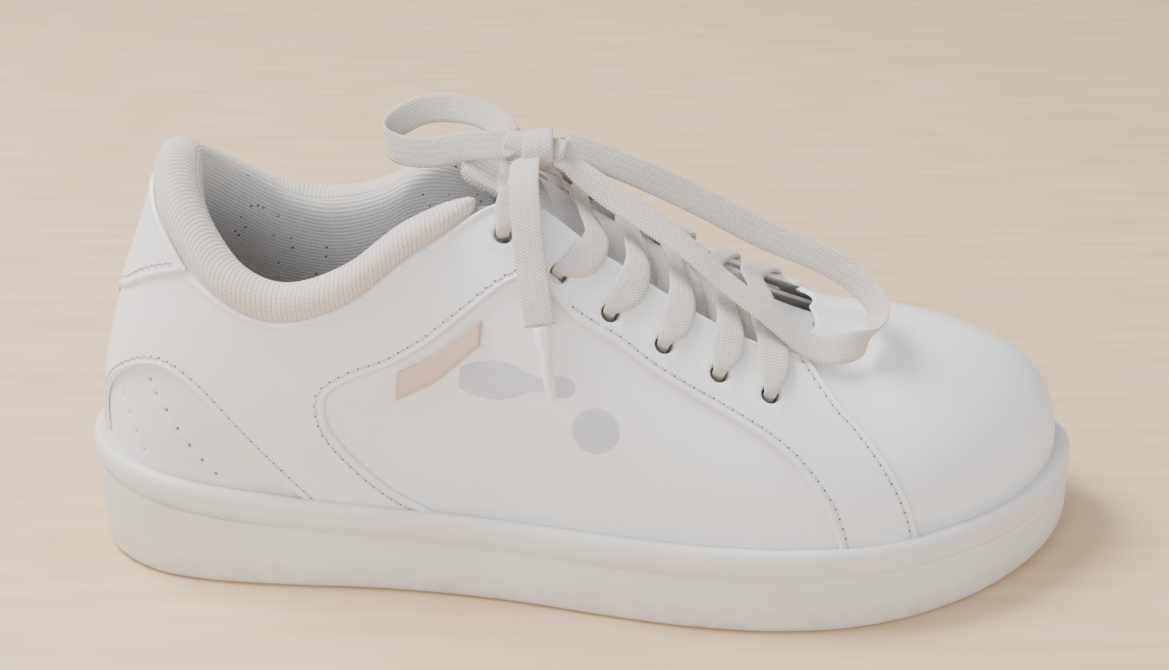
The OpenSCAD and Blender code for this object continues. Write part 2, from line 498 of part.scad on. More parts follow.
// The bottom bar, from inside one lowest hole to inside the other
BAR = let (h = HOLES[5])
    [[LAT, h[0], h[1] - 0.01, -0.7, slim], [LAT, h[0], h[1], 2.4, slim],
     [LAT, h[0], h[1] + 0.01, outer_o + 0.75, slim + 0.4],
     [LAT, h[0] + 0.05, 0.70, lace_over, lace_w], [LAT, h[0] + 0.1, 0.81, lace_over, lace_w],
     [LAT, h[0] + 0.14, 1.3, lace_over - 0.8, lace_w * 0.85],
     [LAT, h[0] + 0.14, 2, lace_over - 1.4, lace_w * 0.85],
     [MED, h[0] + 0.14, 1.3, lace_over - 0.8, lace_w * 0.85],
     [MED, h[0] + 0.1, 0.81, lace_over, lace_w], [MED, h[0] + 0.05, 0.70, lace_over, lace_w],
     [MED, h[0], h[1] + 0.01, outer_o + 0.75, slim + 0.4],
     [MED, h[0], h[1], 2.4, slim], [MED, h[0], h[1] - 0.01, -0.7, slim]];
// Under the leather from the second hole on one side to the top hole on the other
function last_leg(side) =
    let (a = HOLES[1], b = HOLES[0], low = side < 0 ? -1.2 : 0.6, w = lace_w * 0.55)
    [[side, a[0], a[1] + 0.01, lace_under + 0.45, slim],
     [side, a[0], a[1] + 0.08, lace_under, slim + 1.5], [side, a[0] - 0.05, 0.9, lace_under, w],
     [side, a[0] - 0.1, 1.3, low, w], [side, (a[0] + b[0]) / 2, 2, low + 0.1, w],
     [-side, b[0] + 0.15, 1.3, low, w], [-side, b[0] + 0.1, 1, -0.9, w],
     [-side, b[0] + 0.03, 0.93, lace_under, w], [-side, b[0], b[1] + 0.06, lace_under, slim + 1.5],
     [-side, b[0], b[1] + 0.01, lace_under + 0.45, slim]];
// The whole run up one way: it changes side at each crossing and comes up out of a top hole
function run(side, rise) = concat(crossing(side, 5, rise), crossing(-side, 4, rise),
    crossing(side, 3, rise), crossing(-side, 2, rise), last_leg(side), run_end(-side));
// The end of a run, up out of the top hole on one side and over to the knot
function run_end(side) = let (h = HOLES[0])
    [[side, h[0], h[1], 2.4, slim], [side, h[0], h[1] + 0.01, outer_o + 0.75, slim + 0.4],
     [side, h[0] + 0.03, h[1] + 0.07, lace_over, lace_w * 0.8],
     [side, h[0] + 0.05, 0.97, lace_over + 0.2, lace_w * 0.7]];
module routed(rows) {
    lace([for (r = rows) on_skin(r[0], r[1], r[2], r[3])],
        [for (r = rows) rib_tangent(r[0], r[1], r[2])], [for (r = rows) r[4]], lace_t);
}
function reversed(L) = [for (i = [len(L) - 1:-1:0]) L[i]];
module lace_threaded() {
    color("linen") routed(concat(reversed(run(LAT, 2)), BAR, run(MED, 0.3)));
}

// Routes of the free lace, in mm. Each row is [point, width direction].
KNOT = [-10, -2, 120.5];
LOOP_FRONT = [[[-2, -1, 121], [0.1, 0.6, 0.8]], [[6, 1, 117.5], [0.3, 0.5, 0.8]],
    [[18, 2.5, 112], [0.4, 0.4, 0.8]], [[35, 4.5, 103], [0.4, 0.4, 0.8]],
    [[53, 5, 93], [0.4, 0.4, 0.8]], [[70, 4, 86], [0.5, 0.3, 0.8]], [[81, 0, 80], [0.6, 0, 0.8]],
    [[85.5, -7, 75], [0.6, -0.3, 0.7]], [[83, -14, 71], [0.6, 0.1, 0.7]],
    [[75, -18.5, 68.5], [0.4, 0.6, 0.6]], [[66, -20, 70], [0.2, 0.8, 0.5]],
    [[53, -19, 80], [0.1, 0.9, 0.4]], [[42, -16.5, 88], [0.1, 0.9, 0.4]],
    [[33, -14, 95.5], [0.2, 0.9, 0.4]], [[23, -11, 102], [0.3, 0.8, 0.5]],
    [[12, -8, 108.5], [0.3, 0.7, 0.6]], [[3, -5.5, 114.5], [0.2, 0.8, 0.5]],
    [[-2, -4, 118], [0, 1, 0.2]]];
LOOP_BACK = [[[-18, 1, 123.5], [0.2, 0.9, 0.4]], [[-22, 6, 126], [0.2, 0.7, 0.7]],
    [[-30, 9, 128], [0.2, 0.6, 0.8]], [[-41, 8.5, 128.5], [0, 0.3, 1]],
    [[-49, 5.5, 125.5], [-0.1, 0.1, 1]], [[-51.5, 0.5, 123], [-0.1, 0, 1]],
    [[-48, -4, 121], [0, 0.2, 1]], [[-39, -6, 120.5], [0, 0.3, 1]],
    [[-29, -6, 122.5], [0.1, 0.4, 0.9]], [[-22, -5.5, 122.5], [0.1, 0.6, 0.7]],
    [[-18, -3.5, 122], [0, 0.8, 0.4]]];
TAIL_LAT = [[[-12, -8.5, 119], [1, 0, 0.2]], [[-11.5, -16.5, 119.5], [1, 0, 0.2]],
    [[-11, -23.5, 116], [1, 0, 0.2]], [[-10, -28.5, 109.5], [1, 0, 0.2]],
    [[-9, -32.5, 101], [1, 0, 0.1]], [[-7.5, -37, 92.5], [1, 0, 0.1]],
    [[-6, -40.5, 84.5], [1, 0, 0.1]]];
TAIL_MED = [[[-11, 5, 120], [-1, 0, 0.2]], [[-7, 13, 119], [-1, 0, 0.2]],
    [[-2, 23, 111.5], [-1, 0, 0.2]], [[1, 31, 99.5], [-1, 0, 0.1]],
    [[4, 37, 85], [-1, 0, 0.1]], [[6, 40, 74], [-1, 0, 0.1]]];
module free_lace(rows) {
    m = 2 * (len(rows) - 1);
    pts = [for (r = rows) r[0]];
    dirs = [for (r = rows) r[1]];
    color("linen") lace([for (i = [0:m]) k * spline(pts, i / 2)],
        [for (i = [0:m]) spline(dirs, i / 2)], [for (i = [0:m]) lace_w * 0.9], lace_t);
}
module lace_loop_front() { free_lace(LOOP_FRONT); }
module lace_loop_back() { free_lace(LOOP_BACK); }
module lace_tail_lateral() { free_lace(TAIL_LAT); }
module lace_tail_medial() { free_lace(TAIL_MED); }
module lace_knot() {
    color("linen") translate(k * KNOT) rotate([0, 90, 0])
        rotate_extrude($fn = 28)
            polygon([[0, -7], [2.6, -6.6], [4.6, -4.6], [5.5, -1.6], [5.5, 1.6], [4.6, 4.6],
                [2.6, 6.6], [0, 7]]);
}
// A crimped tip at the end of a tail
module aglet(rows) {
    a = k * rows[len(rows) - 1][0];
    d = unit(rows[len(rows) - 1][0] - rows[len(rows) - 2][0]);
    color("white") translate(a + 0.2 * d) rotate([0, acos(d.z), atan2(d.y, d.x)])
        cylinder(h = aglet_l, d1 = 3.4, d2 = 2.6, $fn = 24);
}
module aglet_lateral() { aglet(TAIL_LAT); }
module aglet_medial() { aglet(TAIL_MED); }

cup_sole();
slide_pad();
heel_pad();
midsole_wedge();
lasting_board();
insole();
toe_vamp();
toe_puff();
vamp_lining();
side_panel_lateral();
side_panel_medial();
quarter_lateral();
quarter_medial();
heel_panel();
heel_stiffener();
heel_tab();
eyestay_lateral();
eyestay_medial();
eyelet_stay_lateral();
eyelet_stay_medial();
quarter_lining_lateral();
quarter_lining_medial();
collar_foam();
collar_lining();
tongue_face();
tongue_padding();
tongue_lining();
side_tab();
lace_threaded();
lace_knot();
lace_loop_front();
lace_loop_back();
lace_tail_lateral();
lace_tail_medial();
aglet_lateral();
aglet_medial();
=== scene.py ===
"""Lace-up bowling shoe for the right foot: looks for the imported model, in the same frame.

The toe points along +X, the outer (lateral) side is -Y, and the sole stands on Z = 0. Shapes are worked out in
millimetres on the shoe's own surface and made in metres.
"""
import math

import bmesh
import bpy
import numpy as np
from mathutils import Matrix, geometry


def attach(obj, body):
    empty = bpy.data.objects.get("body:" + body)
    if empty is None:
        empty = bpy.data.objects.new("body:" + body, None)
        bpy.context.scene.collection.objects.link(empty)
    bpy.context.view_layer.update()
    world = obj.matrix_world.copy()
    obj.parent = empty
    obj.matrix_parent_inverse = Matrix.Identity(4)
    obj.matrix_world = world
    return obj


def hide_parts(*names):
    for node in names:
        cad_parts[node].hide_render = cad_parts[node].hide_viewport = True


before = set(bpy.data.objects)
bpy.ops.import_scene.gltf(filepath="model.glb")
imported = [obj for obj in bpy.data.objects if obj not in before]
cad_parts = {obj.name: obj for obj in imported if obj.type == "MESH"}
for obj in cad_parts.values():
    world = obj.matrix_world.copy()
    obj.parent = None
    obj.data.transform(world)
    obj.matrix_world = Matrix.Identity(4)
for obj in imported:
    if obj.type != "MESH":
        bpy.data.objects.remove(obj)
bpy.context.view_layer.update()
MM = 0.001


def arr(values):
    return np.array(values, float)


def unit(v):
    return v / np.maximum(np.linalg.norm(v, axis=-1, keepdims=True), 1e-12)


def add(name, data):
    """A new object in the scene."""
    made = bpy.data.objects.new(name, data)
    bpy.context.scene.collection.objects.link(made)
    return made


def pose(made, x, y, z, at):
    """Turns an object to three axes and sets it down at a place in metres."""
    made.matrix_world = Matrix([[x[i], y[i], z[i], at[i]] for i in range(3)] + [[0, 0, 0, 1]])


# --- Camera ---
TARGET = arr([2.2, 0, 63.1])
AZIMUTH, ELEVATION, ROLL = math.radians(4.93), math.radians(25.12), math.radians(-1.35)
DISTANCE, LENS = 506.4, 53.9


def make_camera():
    level = math.cos(ELEVATION)
    look = arr([-math.sin(AZIMUTH) * level, math.cos(AZIMUTH) * level, -math.sin(ELEVATION)])
    right = unit(np.cross(look, [0, 0, 1]))
    up = np.cross(right, look)
    c, s = math.cos(ROLL), math.sin(ROLL)
    camera = add("camera", bpy.data.cameras.new("camera"))
    camera.data.lens = LENS
    camera.data.sensor_width = 36
    camera.data.clip_start = 0.01
    pose(camera, right * c + up * s, up * c - right * s, -look, (TARGET - look * DISTANCE) * MM)
    bpy.context.scene.camera = camera


make_camera()

# --- The shoe's surface ---
LAT, MED, LAST = -1, 1, 15
SIDES = (LAT, "lateral"), (MED, "medial")
FOOT = {
    LAT: arr([[-135.5, 0], [-132, -14], [-120, -24], [-103, -28.5], [-80, -30], [-57, -30.5], [-34, -32.5],
        [-10, -36.5], [14, -42], [37, -46], [60, -47], [82, -43], [103, -32.5], [120, -18], [131.5, -2],
        [136, 13]]),
    MED: arr([[-135.5, 0], [-132, 14], [-120, 24], [-103, 28], [-80, 29], [-57, 28.5], [-34, 28.5], [-10, 30],
        [14, 34.5], [37, 40], [60, 44], [82, 45], [103, 42], [120, 35], [131.5, 25], [136, 13]])}
LIP_Z = arr([38, 37, 34.5, 32, 29.5, 27.5, 26.5, 26, 26, 26, 26, 25.5, 25.5, 25.5, 26.5, 27.5])
SPRING_Z = arr([1, 0.6, 0, 0, 0, 0, 0, 0, 0, 0, 0, 0, 0.3, 1.2, 2.6, 4])
BOARD_Z = arr([20, 20, 19.6, 19, 18, 17, 16, 15, 14.3, 13.8, 13.5, 13.3, 13.2, 13.2, 13.6, 14.2])
COLLAR = {
    LAT: arr([[-111, 0, 116.5], [-108.5, -12, 110], [-101, -22, 100], [-90.5, -29, 90.5], [-76, -31.5, 86],
        [-58, -31, 92], [-40, -26, 105]]),
    MED: arr([[-111, 0, 116.5], [-108.5, 12, 111.5], [-101, 22, 103], [-90.5, 29, 94.5], [-76, 31, 91],
        [-58, 29.5, 95], [-40, 25, 105.5]])}
FOOT_LEAN = arr([[4, 32], [4, 28], [4.5, 24], [5, 22], [5.5, 22], [6, 24], [6.5, 34]])
TOP_LEAN = arr([[9, 28], [8, 26], [5, 24], [2.5, 22], [2, 20], [3, 22], [5, 24]])
RIDGE = arr([[-17, 1, 117], [5, 3, 102.5], [26, 4.5, 89], [47, 6, 76.5], [66, 8, 67], [78, 9.5, 65],
    [87, 10.5, 63.7], [93, 11, 62.7], [96, 11.5, 62.2]])
LOW_HANDLE = arr([[-4, 8, 68], [-4, 6, 54], [-1, 5, 42], [1, 5, 34], [3, 5, 29], [4, 5, 27], [5, 4, 25],
    [6, 2.5, 24], [6, 0, 24]])
TOP_HANDLE = {
    LAT: arr([[1, 20], [2, 21], [4, 23], [6, 25], [10, 27], [16, 25], [22, 18], [28, 8], [30, -2]]),
    MED: arr([[1, 18], [2, 19], [4, 21], [6, 23], [10, 25], [16, 23], [22, 18], [28, 10], [30, 2]])}
SPLIT = arr([0.76, 0.78, 0.80, 0.82, 0.80, 0.74, 0.70, 0.66, 0.64])
SOLE_WALL, SOLE_FLOOR, BAND_DROP = 9.4, 8.0, 9.0
BASE_O, OVER_O, LEATHER_T = 2.4, 3.8, 1.2
OUTER_O = OVER_O + LEATHER_T
LACE_W, LACE_T, HOLE_D = 9.0, 1.3, 5.0


def spline(points, u):
    """A smooth line through points, at u = 0 for the first, 1 for the second and so on."""
    points, u = arr(points), arr(u)
    n = len(points) - 1
    i = np.clip(np.floor(u).astype(int), 0, n)
    t = np.where(i >= n, 0, u - i).reshape(u.shape + (1,) * (points.ndim - 1))
    wide = np.concatenate([[2 * points[0] - points[1]], points, [2 * points[n] - points[n - 1]] * 2])
    a, b, c, d = wide[i], wide[i + 1], wide[i + 2], wide[np.minimum(i + 3, n + 2)]
    return 0.5 * (2 * b + (c - a) * t + (2 * a - 5 * b + 4 * c - d) * t ** 2 + (3 * b - a - 3 * c + d) * t ** 3)


def smooth_line(points, n):
    """n points along the smooth line through some points."""
    return spline(points, np.linspace(0, len(points) - 1, n))


def lengths(points):
    """How far each point is along a polyline."""
    return np.concatenate([[0], np.cumsum(np.linalg.norm(np.diff(points, axis=0), axis=1))])


def rounded(part):
    """A quarter of a circle: 0 at 0, and 1 from 1 on."""
    return np.sqrt(np.clip(1 - (1 - np.minimum(part, 1)) ** 2, 0, 1))


def closed(own, other):
    return np.concatenate([[other[1]], own, [other[LAST - 1]]])


FOOT_RING = {side: closed(FOOT[side], FOOT[-side]) for side in (LAT, MED)}


def foot(side, s):
    return spline(FOOT_RING[side], arr(s) + 1)


def outward(side, s):
    s = arr(s)
    d = unit(foot(side, s + 0.4) - foot(side, s - 0.4))
    out = np.stack([d[..., 1], -d[..., 0]], -1) * -side
    out[s <= 0] = [-1, 0]
    out[s >= LAST] = [1, 0]
    return out


def ridge_slope(j):
    a, b = RIDGE[max(j - 1, 0)], RIDGE[min(j + 1, 8)]
    return (b[2] - a[2]) / (b[0] - a[0])


def rib(side, i):
    f = np.append(foot(side, i), LIP_Z[i] - 9)
    if i < 7:
        o, up, t = np.append(outward(side, arr([i]))[0], 0), arr([0, 0, 1]), COLLAR[side][i]
        r = RIDGE[0] + (7 - i) * arr([-20, -1, 11])
        a = f + FOOT_LEAN[i][0] * o + FOOT_LEAN[i][1] * up
        b = t + TOP_LEAN[i][0] * o - TOP_LEAN[i][1] * up
        return [f, a, b, t, t + (t - b) * 0.5, r + arr([0, side * 10, 0]), r]
    j = i - 7
    r, lo, hi, w = RIDGE[j], LOW_HANDLE[j], TOP_HANDLE[side][j], SPLIT[j]
    a = f + arr([lo[0], side * lo[1], lo[2]])
    b = r + arr([hi[0], side * hi[1], ridge_slope(j) * hi[0]])
    fa, ab, br = f + (a - f) * w, a + (b - a) * w, b + (r - b) * w
    m, n = fa + (ab - fa) * w, ab + (br - ab) * w
    return [f, fa, m, m + (n - m) * w, n, br, r]


RIBS = {side: arr([rib(side, i) for i in range(LAST + 1)]) for side in (LAT, MED)}
RING = {side: closed(RIBS[side], RIBS[-side]) for side in (LAT, MED)}


def skin(side, s, t):
    """A place on the foot side of the upper. s runs heel to toe, 0 to 15; t is 0 at the sole, 1 at the collar line
    and 2 at the ridge."""
    s, t = np.broadcast_arrays(arr(s), arr(t))
    ribs = spline(RING[side], s + 1)
    high = (t > 1)[..., None]
    q = np.where(t > 1, t - 1, t)[..., None]
    p = [np.where(high, ribs[..., k + 3, :], ribs[..., k, :]) for k in range(4)]
    m = 1 - q
    return m ** 3 * p[0] + 3 * m * m * q * p[1] + 3 * m * q * q * p[2] + q ** 3 * p[3]


STEP = 0.01


def skin_normal(side, s, t):
    s, t = (np.array(a, float) for a in np.broadcast_arrays(arr(s), arr(t)))
    up = skin(side, s, np.minimum(t + STEP, 2)) - skin(side, s, np.maximum(t - STEP, 0))
    on = skin(side, np.minimum(s + STEP, LAST), t) - skin(side, np.maximum(s - STEP, 0), t)
    n = -side * np.cross(on, up)
    y = arr([0, 1, 0])
    n[s <= 0] = np.cross(up[s <= 0], y)
    n[s >= LAST] = np.cross(y, up[s >= LAST])
    top = t >= 2
    n[top] = np.stack([-on[top][..., 2], 0 * on[top][..., 0], on[top][..., 0]], -1)
    return unit(n)


def on_skin(side, s, t, o):
    return skin(side, s, t) + arr(o)[..., None] * skin_normal(side, s, t)


def either(find, side, u, *rest):
    """find() on one side, or round the heel when side is 0: then u is negative on the lateral side."""
    s = np.abs(u)
    if side:
        return find(side, s, *rest)
    return np.where((u < 0)[..., None], find(LAT, s, *rest), find(MED, s, *rest))


def place(side, u, t, o):
    u, t = np.broadcast_arrays(arr(u), arr(t))
    return either(on_skin, side, u, t, np.broadcast_to(arr(o), u.shape))


def normal_at(side, u, t):
    return either(skin_normal, side, arr(u), t)


# --- Materials ---
class Look:
    """A procedural material, built up node by node. Sizes are given in millimetres."""

    def __init__(self, name, rough=0.5, **sockets):
        self.material = bpy.data.materials.new(name)
        self.material.use_nodes = True
        self.tree = self.material.node_tree
        self.shader = self.tree.nodes["Principled BSDF"]
        self.shader.inputs["Roughness"].default_value = rough
        for key, value in sockets.items():
            self.shader.inputs[key.replace("_", " ")].default_value = value
        self.spot = self.node("ShaderNodeTexCoord").outputs["Object"]

    def node(self, kind, **inputs):
        made = self.tree.nodes.new(kind)
        for key, value in inputs.items():
            self.put(made.inputs[key.replace("_", " ")], value)
        return made

    def put(self, socket, value):
        if hasattr(value, "is_output"):
            self.tree.links.new(value, socket)
        elif socket.type == "RGBA":
            socket.default_value = (*value, 1)
        else:
            socket.default_value = value

    def math(self, kind, a, b=0.0, c=0.0):
        made = self.tree.nodes.new("ShaderNodeMath")
        made.operation = kind
        for socket, value in zip(made.inputs, (a, b, c)):
            self.put(socket, value)
        return made.outputs[0]

    def times(self, a, b):
        return self.math("MULTIPLY", a, b)

    def half_wave(self, phase):
        """A sine between 0 and 1."""
        return self.math("MULTIPLY_ADD", self.math("SINE", phase), 0.5, 0.5)

    def noise(self, size, detail=3.0, vector=None, rough=0.5):
        made = self.node("ShaderNodeTexNoise", Vector=vector or self.spot, Scale=1 / (size * MM), Detail=detail,
                         Roughness=rough)
        return made.outputs["Fac"]

    def cells(self, size, feature="F1"):
        made = self.node("ShaderNodeTexVoronoi", Vector=self.spot, Scale=1 / (size * MM))
        made.feature = feature
        return made.outputs["Distance"]

    def step(self, value, low, high, to_low=0.0, to_high=1.0):
        made = self.node("ShaderNodeMapRange")
        made.interpolation_type = "SMOOTHSTEP"
        for key, v in (("Value", value), ("From Min", low), ("From Max", high), ("To Min", to_low),
                       ("To Max", to_high)):
            self.put(made.inputs[key], v)
        return made.outputs["Result"]

    def mix(self, factor, a, b):
        made = self.tree.nodes.new("ShaderNodeMix")
        made.data_type = "RGBA"
        self.put(made.inputs[0], factor)
        self.put(made.inputs[6], a)
        self.put(made.inputs[7], b)
        return made.outputs[2]

    def axes(self, vector):
        return self.node("ShaderNodeSeparateXYZ", Vector=vector).outputs

    def stretched(self, x, y, z):
        made = self.node("ShaderNodeMapping", Vector=self.spot)
        made.inputs["Scale"].default_value = (x, y, z)
        return made.outputs["Vector"]

    def cloudy(self, base, shade, size, detail, low, high):
        """One colour drifting into another in soft patches."""
        return self.mix(self.step(self.noise(size, detail), low, high), base, shade)

    def worn(self, colour, light, size, low, high, amount):
        """The colour with cloudy duller patches."""
        return self.mix(self.times(self.step(self.noise(size, 3), low, high), amount), colour,
                        tuple(0.88 * c for c in light))

    def bump(self, height, depth, strength=1.0):
        made = self.node("ShaderNodeBump", Height=height, Strength=strength, Distance=depth * MM)
        if self.shader.inputs["Normal"].is_linked:
            self.put(made.inputs["Normal"], self.shader.inputs["Normal"].links[0].from_socket)
        self.put(self.shader.inputs["Normal"], made.outputs["Normal"])

    def colour(self, value):
        self.put(self.shader.inputs["Base Color"], value)

    def rough(self, value):
        self.put(self.shader.inputs["Roughness"], value)

    def uv(self):
        made = self.tree.nodes.new("ShaderNodeUVMap")
        made.uv_map = "along"
        return self.axes(made.outputs["UV"])[:2]


def leather(name, base, shade):
    """Smooth coated leather: fine pebbled grain, faint creases and slight unevenness."""
    look = Look(name, rough=0.4, Coat_Weight=0.12, Coat_Roughness=0.3, Specular_IOR_Level=0.45)
    look.colour(look.cloudy(base, shade, 34, 3, 0.35, 0.7))
    look.rough(look.step(look.noise(9, 4), 0.2, 0.8, 0.36, 0.47))
    look.bump(look.noise(46, 2), 1.1, 0.35)
    look.bump(look.cells(0.75, "SMOOTH_F1"), 0.09, 0.42)
    look.bump(look.noise(0.35, 4), 0.04, 0.45)
    return look.material


def sole_rubber():
    """Moulded off-white rubber, scuffed, with dirt patches low down and evenly darker towards the bottom."""
    look = Look("sole_rubber", rough=0.5, Specular_IOR_Level=0.4)
    x, y, z = look.axes(look.spot)
    base = look.cloudy((0.75, 0.725, 0.69), (0.70, 0.67, 0.63), 26, 4, 0.3, 0.7)
    low = look.step(z, 0.001, 0.011, 1.0, 0.0)
    scuff = look.noise(1.1, 5, look.stretched(0.22, 0.22, 1.6), 0.65)
    marks = look.times(look.step(scuff, 0.55, 0.68), look.step(look.noise(24, 3), 0.42, 0.62))
    dirt = look.times(look.step(look.noise(5, 6, rough=0.65), 0.42, 0.72), low)
    base = look.mix(look.times(marks, 0.16), base, (0.40, 0.36, 0.32))
    base = look.mix(look.times(dirt, 0.34), base, (0.33, 0.27, 0.21))
    # Evenly darker towards the bottom, all round the sole.
    base = look.mix(look.times(low, 0.16), base, (0.45, 0.40, 0.34))
    look.colour(base)
    look.rough(look.step(look.noise(3, 4), 0.2, 0.8, 0.45, 0.6))
    look.bump(look.noise(14, 3), 0.5, 0.25)
    look.bump(look.noise(0.6, 4), 0.06, 0.6)
    look.bump(scuff, 0.08, 0.5)
    return look.material


def knit(name, light, dark, course, wale, specks=0.0, rows=False):
    """Ribbed knit: columns of V-shaped stitches, or plain rows, from a map of millimetres along and across."""
    look = Look(name, rough=0.9, Sheen_Weight=0.35, Sheen_Roughness=0.5, Specular_IOR_Level=0.2)
    u, v = look.uv()
    wobble = look.times(look.math("SUBTRACT", look.noise(9, 2), 0.5), 0.9)
    u = look.math("ADD", u, wobble)
    ridge = look.math("ABSOLUTE", look.math("SINE", look.times(u, math.pi / wale)))
    slant = look.times(look.math("PINGPONG", u, wale / 2), 0.9)
    loops = look.half_wave(look.times(look.math("ADD", v, slant), 2 * math.pi / course))
    first, second = (loops, ridge) if rows else (ridge, loops)
    height = look.times(look.math("POWER", first, 0.6), look.math("MULTIPLY_ADD", second, 0.4, 0.6))
    # Painted shade: the colour runs from light on the raised loops to dark in the hollows between them.
    shade = look.mix(look.step(height, 0.05, 0.7), dark, light)
    shade = look.worn(shade, light, 16, 0.4, 0.65, 0.3)
    if specks:
        lint = look.step(look.cells(3.2), 0.1, 0.16, 1.0, 0.0)
        some = look.step(look.noise(17, 2), 0.44, 0.52)
        shade = look.mix(look.times(lint, look.times(some, specks)), shade, (0.06, 0.06, 0.08))
    look.colour(shade)
    look.bump(height, 0.3, 0.7)
    look.bump(look.noise(0.5, 4), 0.12, 0.6)
    return look.material


def braid(name, light, dark):
    """Flat lace: a herringbone braid with a soft, slightly hairy surface."""
    look = Look(name, rough=0.85, Sheen_Weight=0.3, Sheen_Roughness=0.5, Specular_IOR_Level=0.25)
    u, v = look.uv()
    zigzag = look.math("PINGPONG", look.math("ADD", v, 20), 1.05)
    height = look.half_wave(look.times(look.math("ADD", u, zigzag), 2 * math.pi / 0.95))
    height = look.times(height, look.step(zigzag, 0.0, 0.25, 0.55, 1.0))
    # Painted shade: the colour runs from light on the raised strands to dark in the grooves and low turns.
    shade = look.mix(look.step(height, 0.1, 0.75), dark, light)
    shade = look.worn(shade, light, 12, 0.45, 0.7, 0.4)
    look.colour(shade)
    look.bump(height, 0.3, 0.75)
    look.bump(look.noise(0.4, 4), 0.1, 0.6)
    return look.material


def cloth(name, light, dark, size):
    """Plain woven cloth or felt, from two crossing threads."""
    look = Look(name, rough=0.85, Sheen_Weight=0.2, Specular_IOR_Level=0.2)
    x, y, z = look.axes(look.spot)
    turn = 2 * math.pi / (size * MM)
    warp = look.math("SINE", look.times(look.math("ADD", x, look.times(z, 0.6)), turn))
    weft = look.math("SINE", look.times(look.math("SUBTRACT", y, look.times(z, 0.8)), turn))
    height = look.math("MULTIPLY_ADD", look.times(warp, weft), 0.5, 0.5)
    # Partly random tone from the noise, partly painted shade: darker where the crossing threads lie low.
    look.colour(look.mix(look.math("MULTIPLY_ADD", look.noise(7, 4), 0.5, look.times(height, 0.45)),
                         dark, light))
    look.bump(height, 0.12, 0.6)
    look.bump(look.noise(0.5, 4), 0.1, 0.5)
    return look.material


def plain(name, base, shade, rough, grain=0.6, depth=0.06, **sockets):
    """A nearly even colour with a fine grain."""
    look = Look(name, rough=rough, **sockets)
    look.colour(look.cloudy(base, shade, 8, 4, 0.3, 0.7))
    look.bump(look.noise(grain, 4), depth, 0.6)
    return look.material


WHITE = leather("leather_white", (0.87, 0.865, 0.875), (0.84, 0.83, 0.845))
WHITE_PUNCHED = leather("leather_punched", (0.82, 0.80, 0.80), (0.79, 0.765, 0.765))
RUBBER = sole_rubber()
KNIT = knit("knit_collar", (0.70, 0.635, 0.565), (0.50, 0.43, 0.365), 1.1, 1.4)
KNIT_INSIDE = knit("knit_inside", (0.72, 0.70, 0.685), (0.50, 0.475, 0.46), 1.2, 1.0, specks=0.95, rows=True)
BRAID = braid("lace_braid", (0.79, 0.735, 0.675), (0.56, 0.50, 0.44))
TAB_CLOTH = cloth("tab_cloth", (0.76, 0.57, 0.48), (0.60, 0.43, 0.35), size=0.9)
CUT_EDGE = plain("cut_edge", (0.66, 0.56, 0.42), (0.52, 0.43, 0.31), 0.85)
INSOLE_CLOTH = cloth("insole_cloth", (0.42, 0.41, 0.40), (0.26, 0.25, 0.245), size=1.1)
LINING_CLOTH = cloth("lining_cloth", (0.62, 0.60, 0.57), (0.48, 0.46, 0.43), size=0.7)
THREAD = plain("thread", (0.66, 0.64, 0.63), (0.56, 0.54, 0.53), 0.7, grain=0.2)
# Painted shade: the dark inside the needle holes, laid on the leather as small dark discs.
NEEDLE_HOLE_SHADE = plain("needle_hole_painted_shade", (0.20, 0.18, 0.17), (0.13, 0.12, 0.11), 0.9)
MARK = plain("pale_mark", (0.60, 0.60, 0.69), (0.55, 0.55, 0.64), 0.4, grain=0.5, depth=0.05)
CLEAR_TIP = plain("aglet_plastic", (0.86, 0.86, 0.85), (0.80, 0.80, 0.79), 0.22, Coat_Weight=0.6)
SUEDE = plain("slide_suede", (0.50, 0.42, 0.33), (0.42, 0.35, 0.27), 0.95, grain=0.4, depth=0.2)
DARK_RUBBER = plain("heel_rubber", (0.07, 0.07, 0.075), (0.05, 0.05, 0.055), 0.7, grain=0.8, depth=0.1)
BOARD = plain("fibre_board", (0.55, 0.46, 0.32), (0.45, 0.37, 0.25), 0.9)
FOAM = plain("open_foam", (0.70, 0.67, 0.55), (0.62, 0.59, 0.47), 0.95, grain=0.5, depth=0.2)


# --- Mesh making ---
def make(name, verts, faces, material, body="shoe", node=(), slot="leather", uv=None):
    """A piece from points in millimetres. uv holds a pair of millimetres for each point."""
    mesh = bpy.data.meshes.new(name)
    mesh.from_pydata([tuple(v) for v in arr(verts) * MM], [], [tuple(int(i) for i in f) for f in faces])
    mesh.validate()
    mesh.update()
    mesh.shade_smooth()
    if uv is not None:
        layer = mesh.uv_layers.new(name="along")
        index = np.zeros(len(mesh.loops), dtype=int)
        mesh.loops.foreach_get("vertex_index", index)
        layer.data.foreach_set("uv", arr(uv)[index].ravel())
    mesh.materials.append(material)
    piece = add(name, mesh)
    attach(piece, body)
    if node:
        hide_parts(*([node] if isinstance(node, str) else node))
    return piece


def grid_faces(n, m, wrap=False, first=0):
    """Quads of an n by m grid of points, closed in the second direction when wrap is true."""
    i, j = np.meshgrid(np.arange(n - 1), np.arange(m if wrap else m - 1), indexing="ij")
    a, b = i * m + j, i * m + (j + 1) % m
    return np.stack([a, a + m, b + m, b], -1).reshape(-1, 4) + first


def mend(piece, join=True):
    """Joins points that coincide, for sheets that fold onto themselves, and turns all faces outward."""
    bm = bmesh.new()
    bm.from_mesh(piece.data)
    if join:
        bmesh.ops.remove_doubles(bm, verts=bm.verts, dist=2e-6)
        bmesh.ops.dissolve_degenerate(bm, edges=bm.edges, dist=1e-6)
    bmesh.ops.recalc_face_normals(bm, faces=bm.faces)
    bm.to_mesh(piece.data)
    bm.free()
    piece.data.shade_smooth()
    return piece


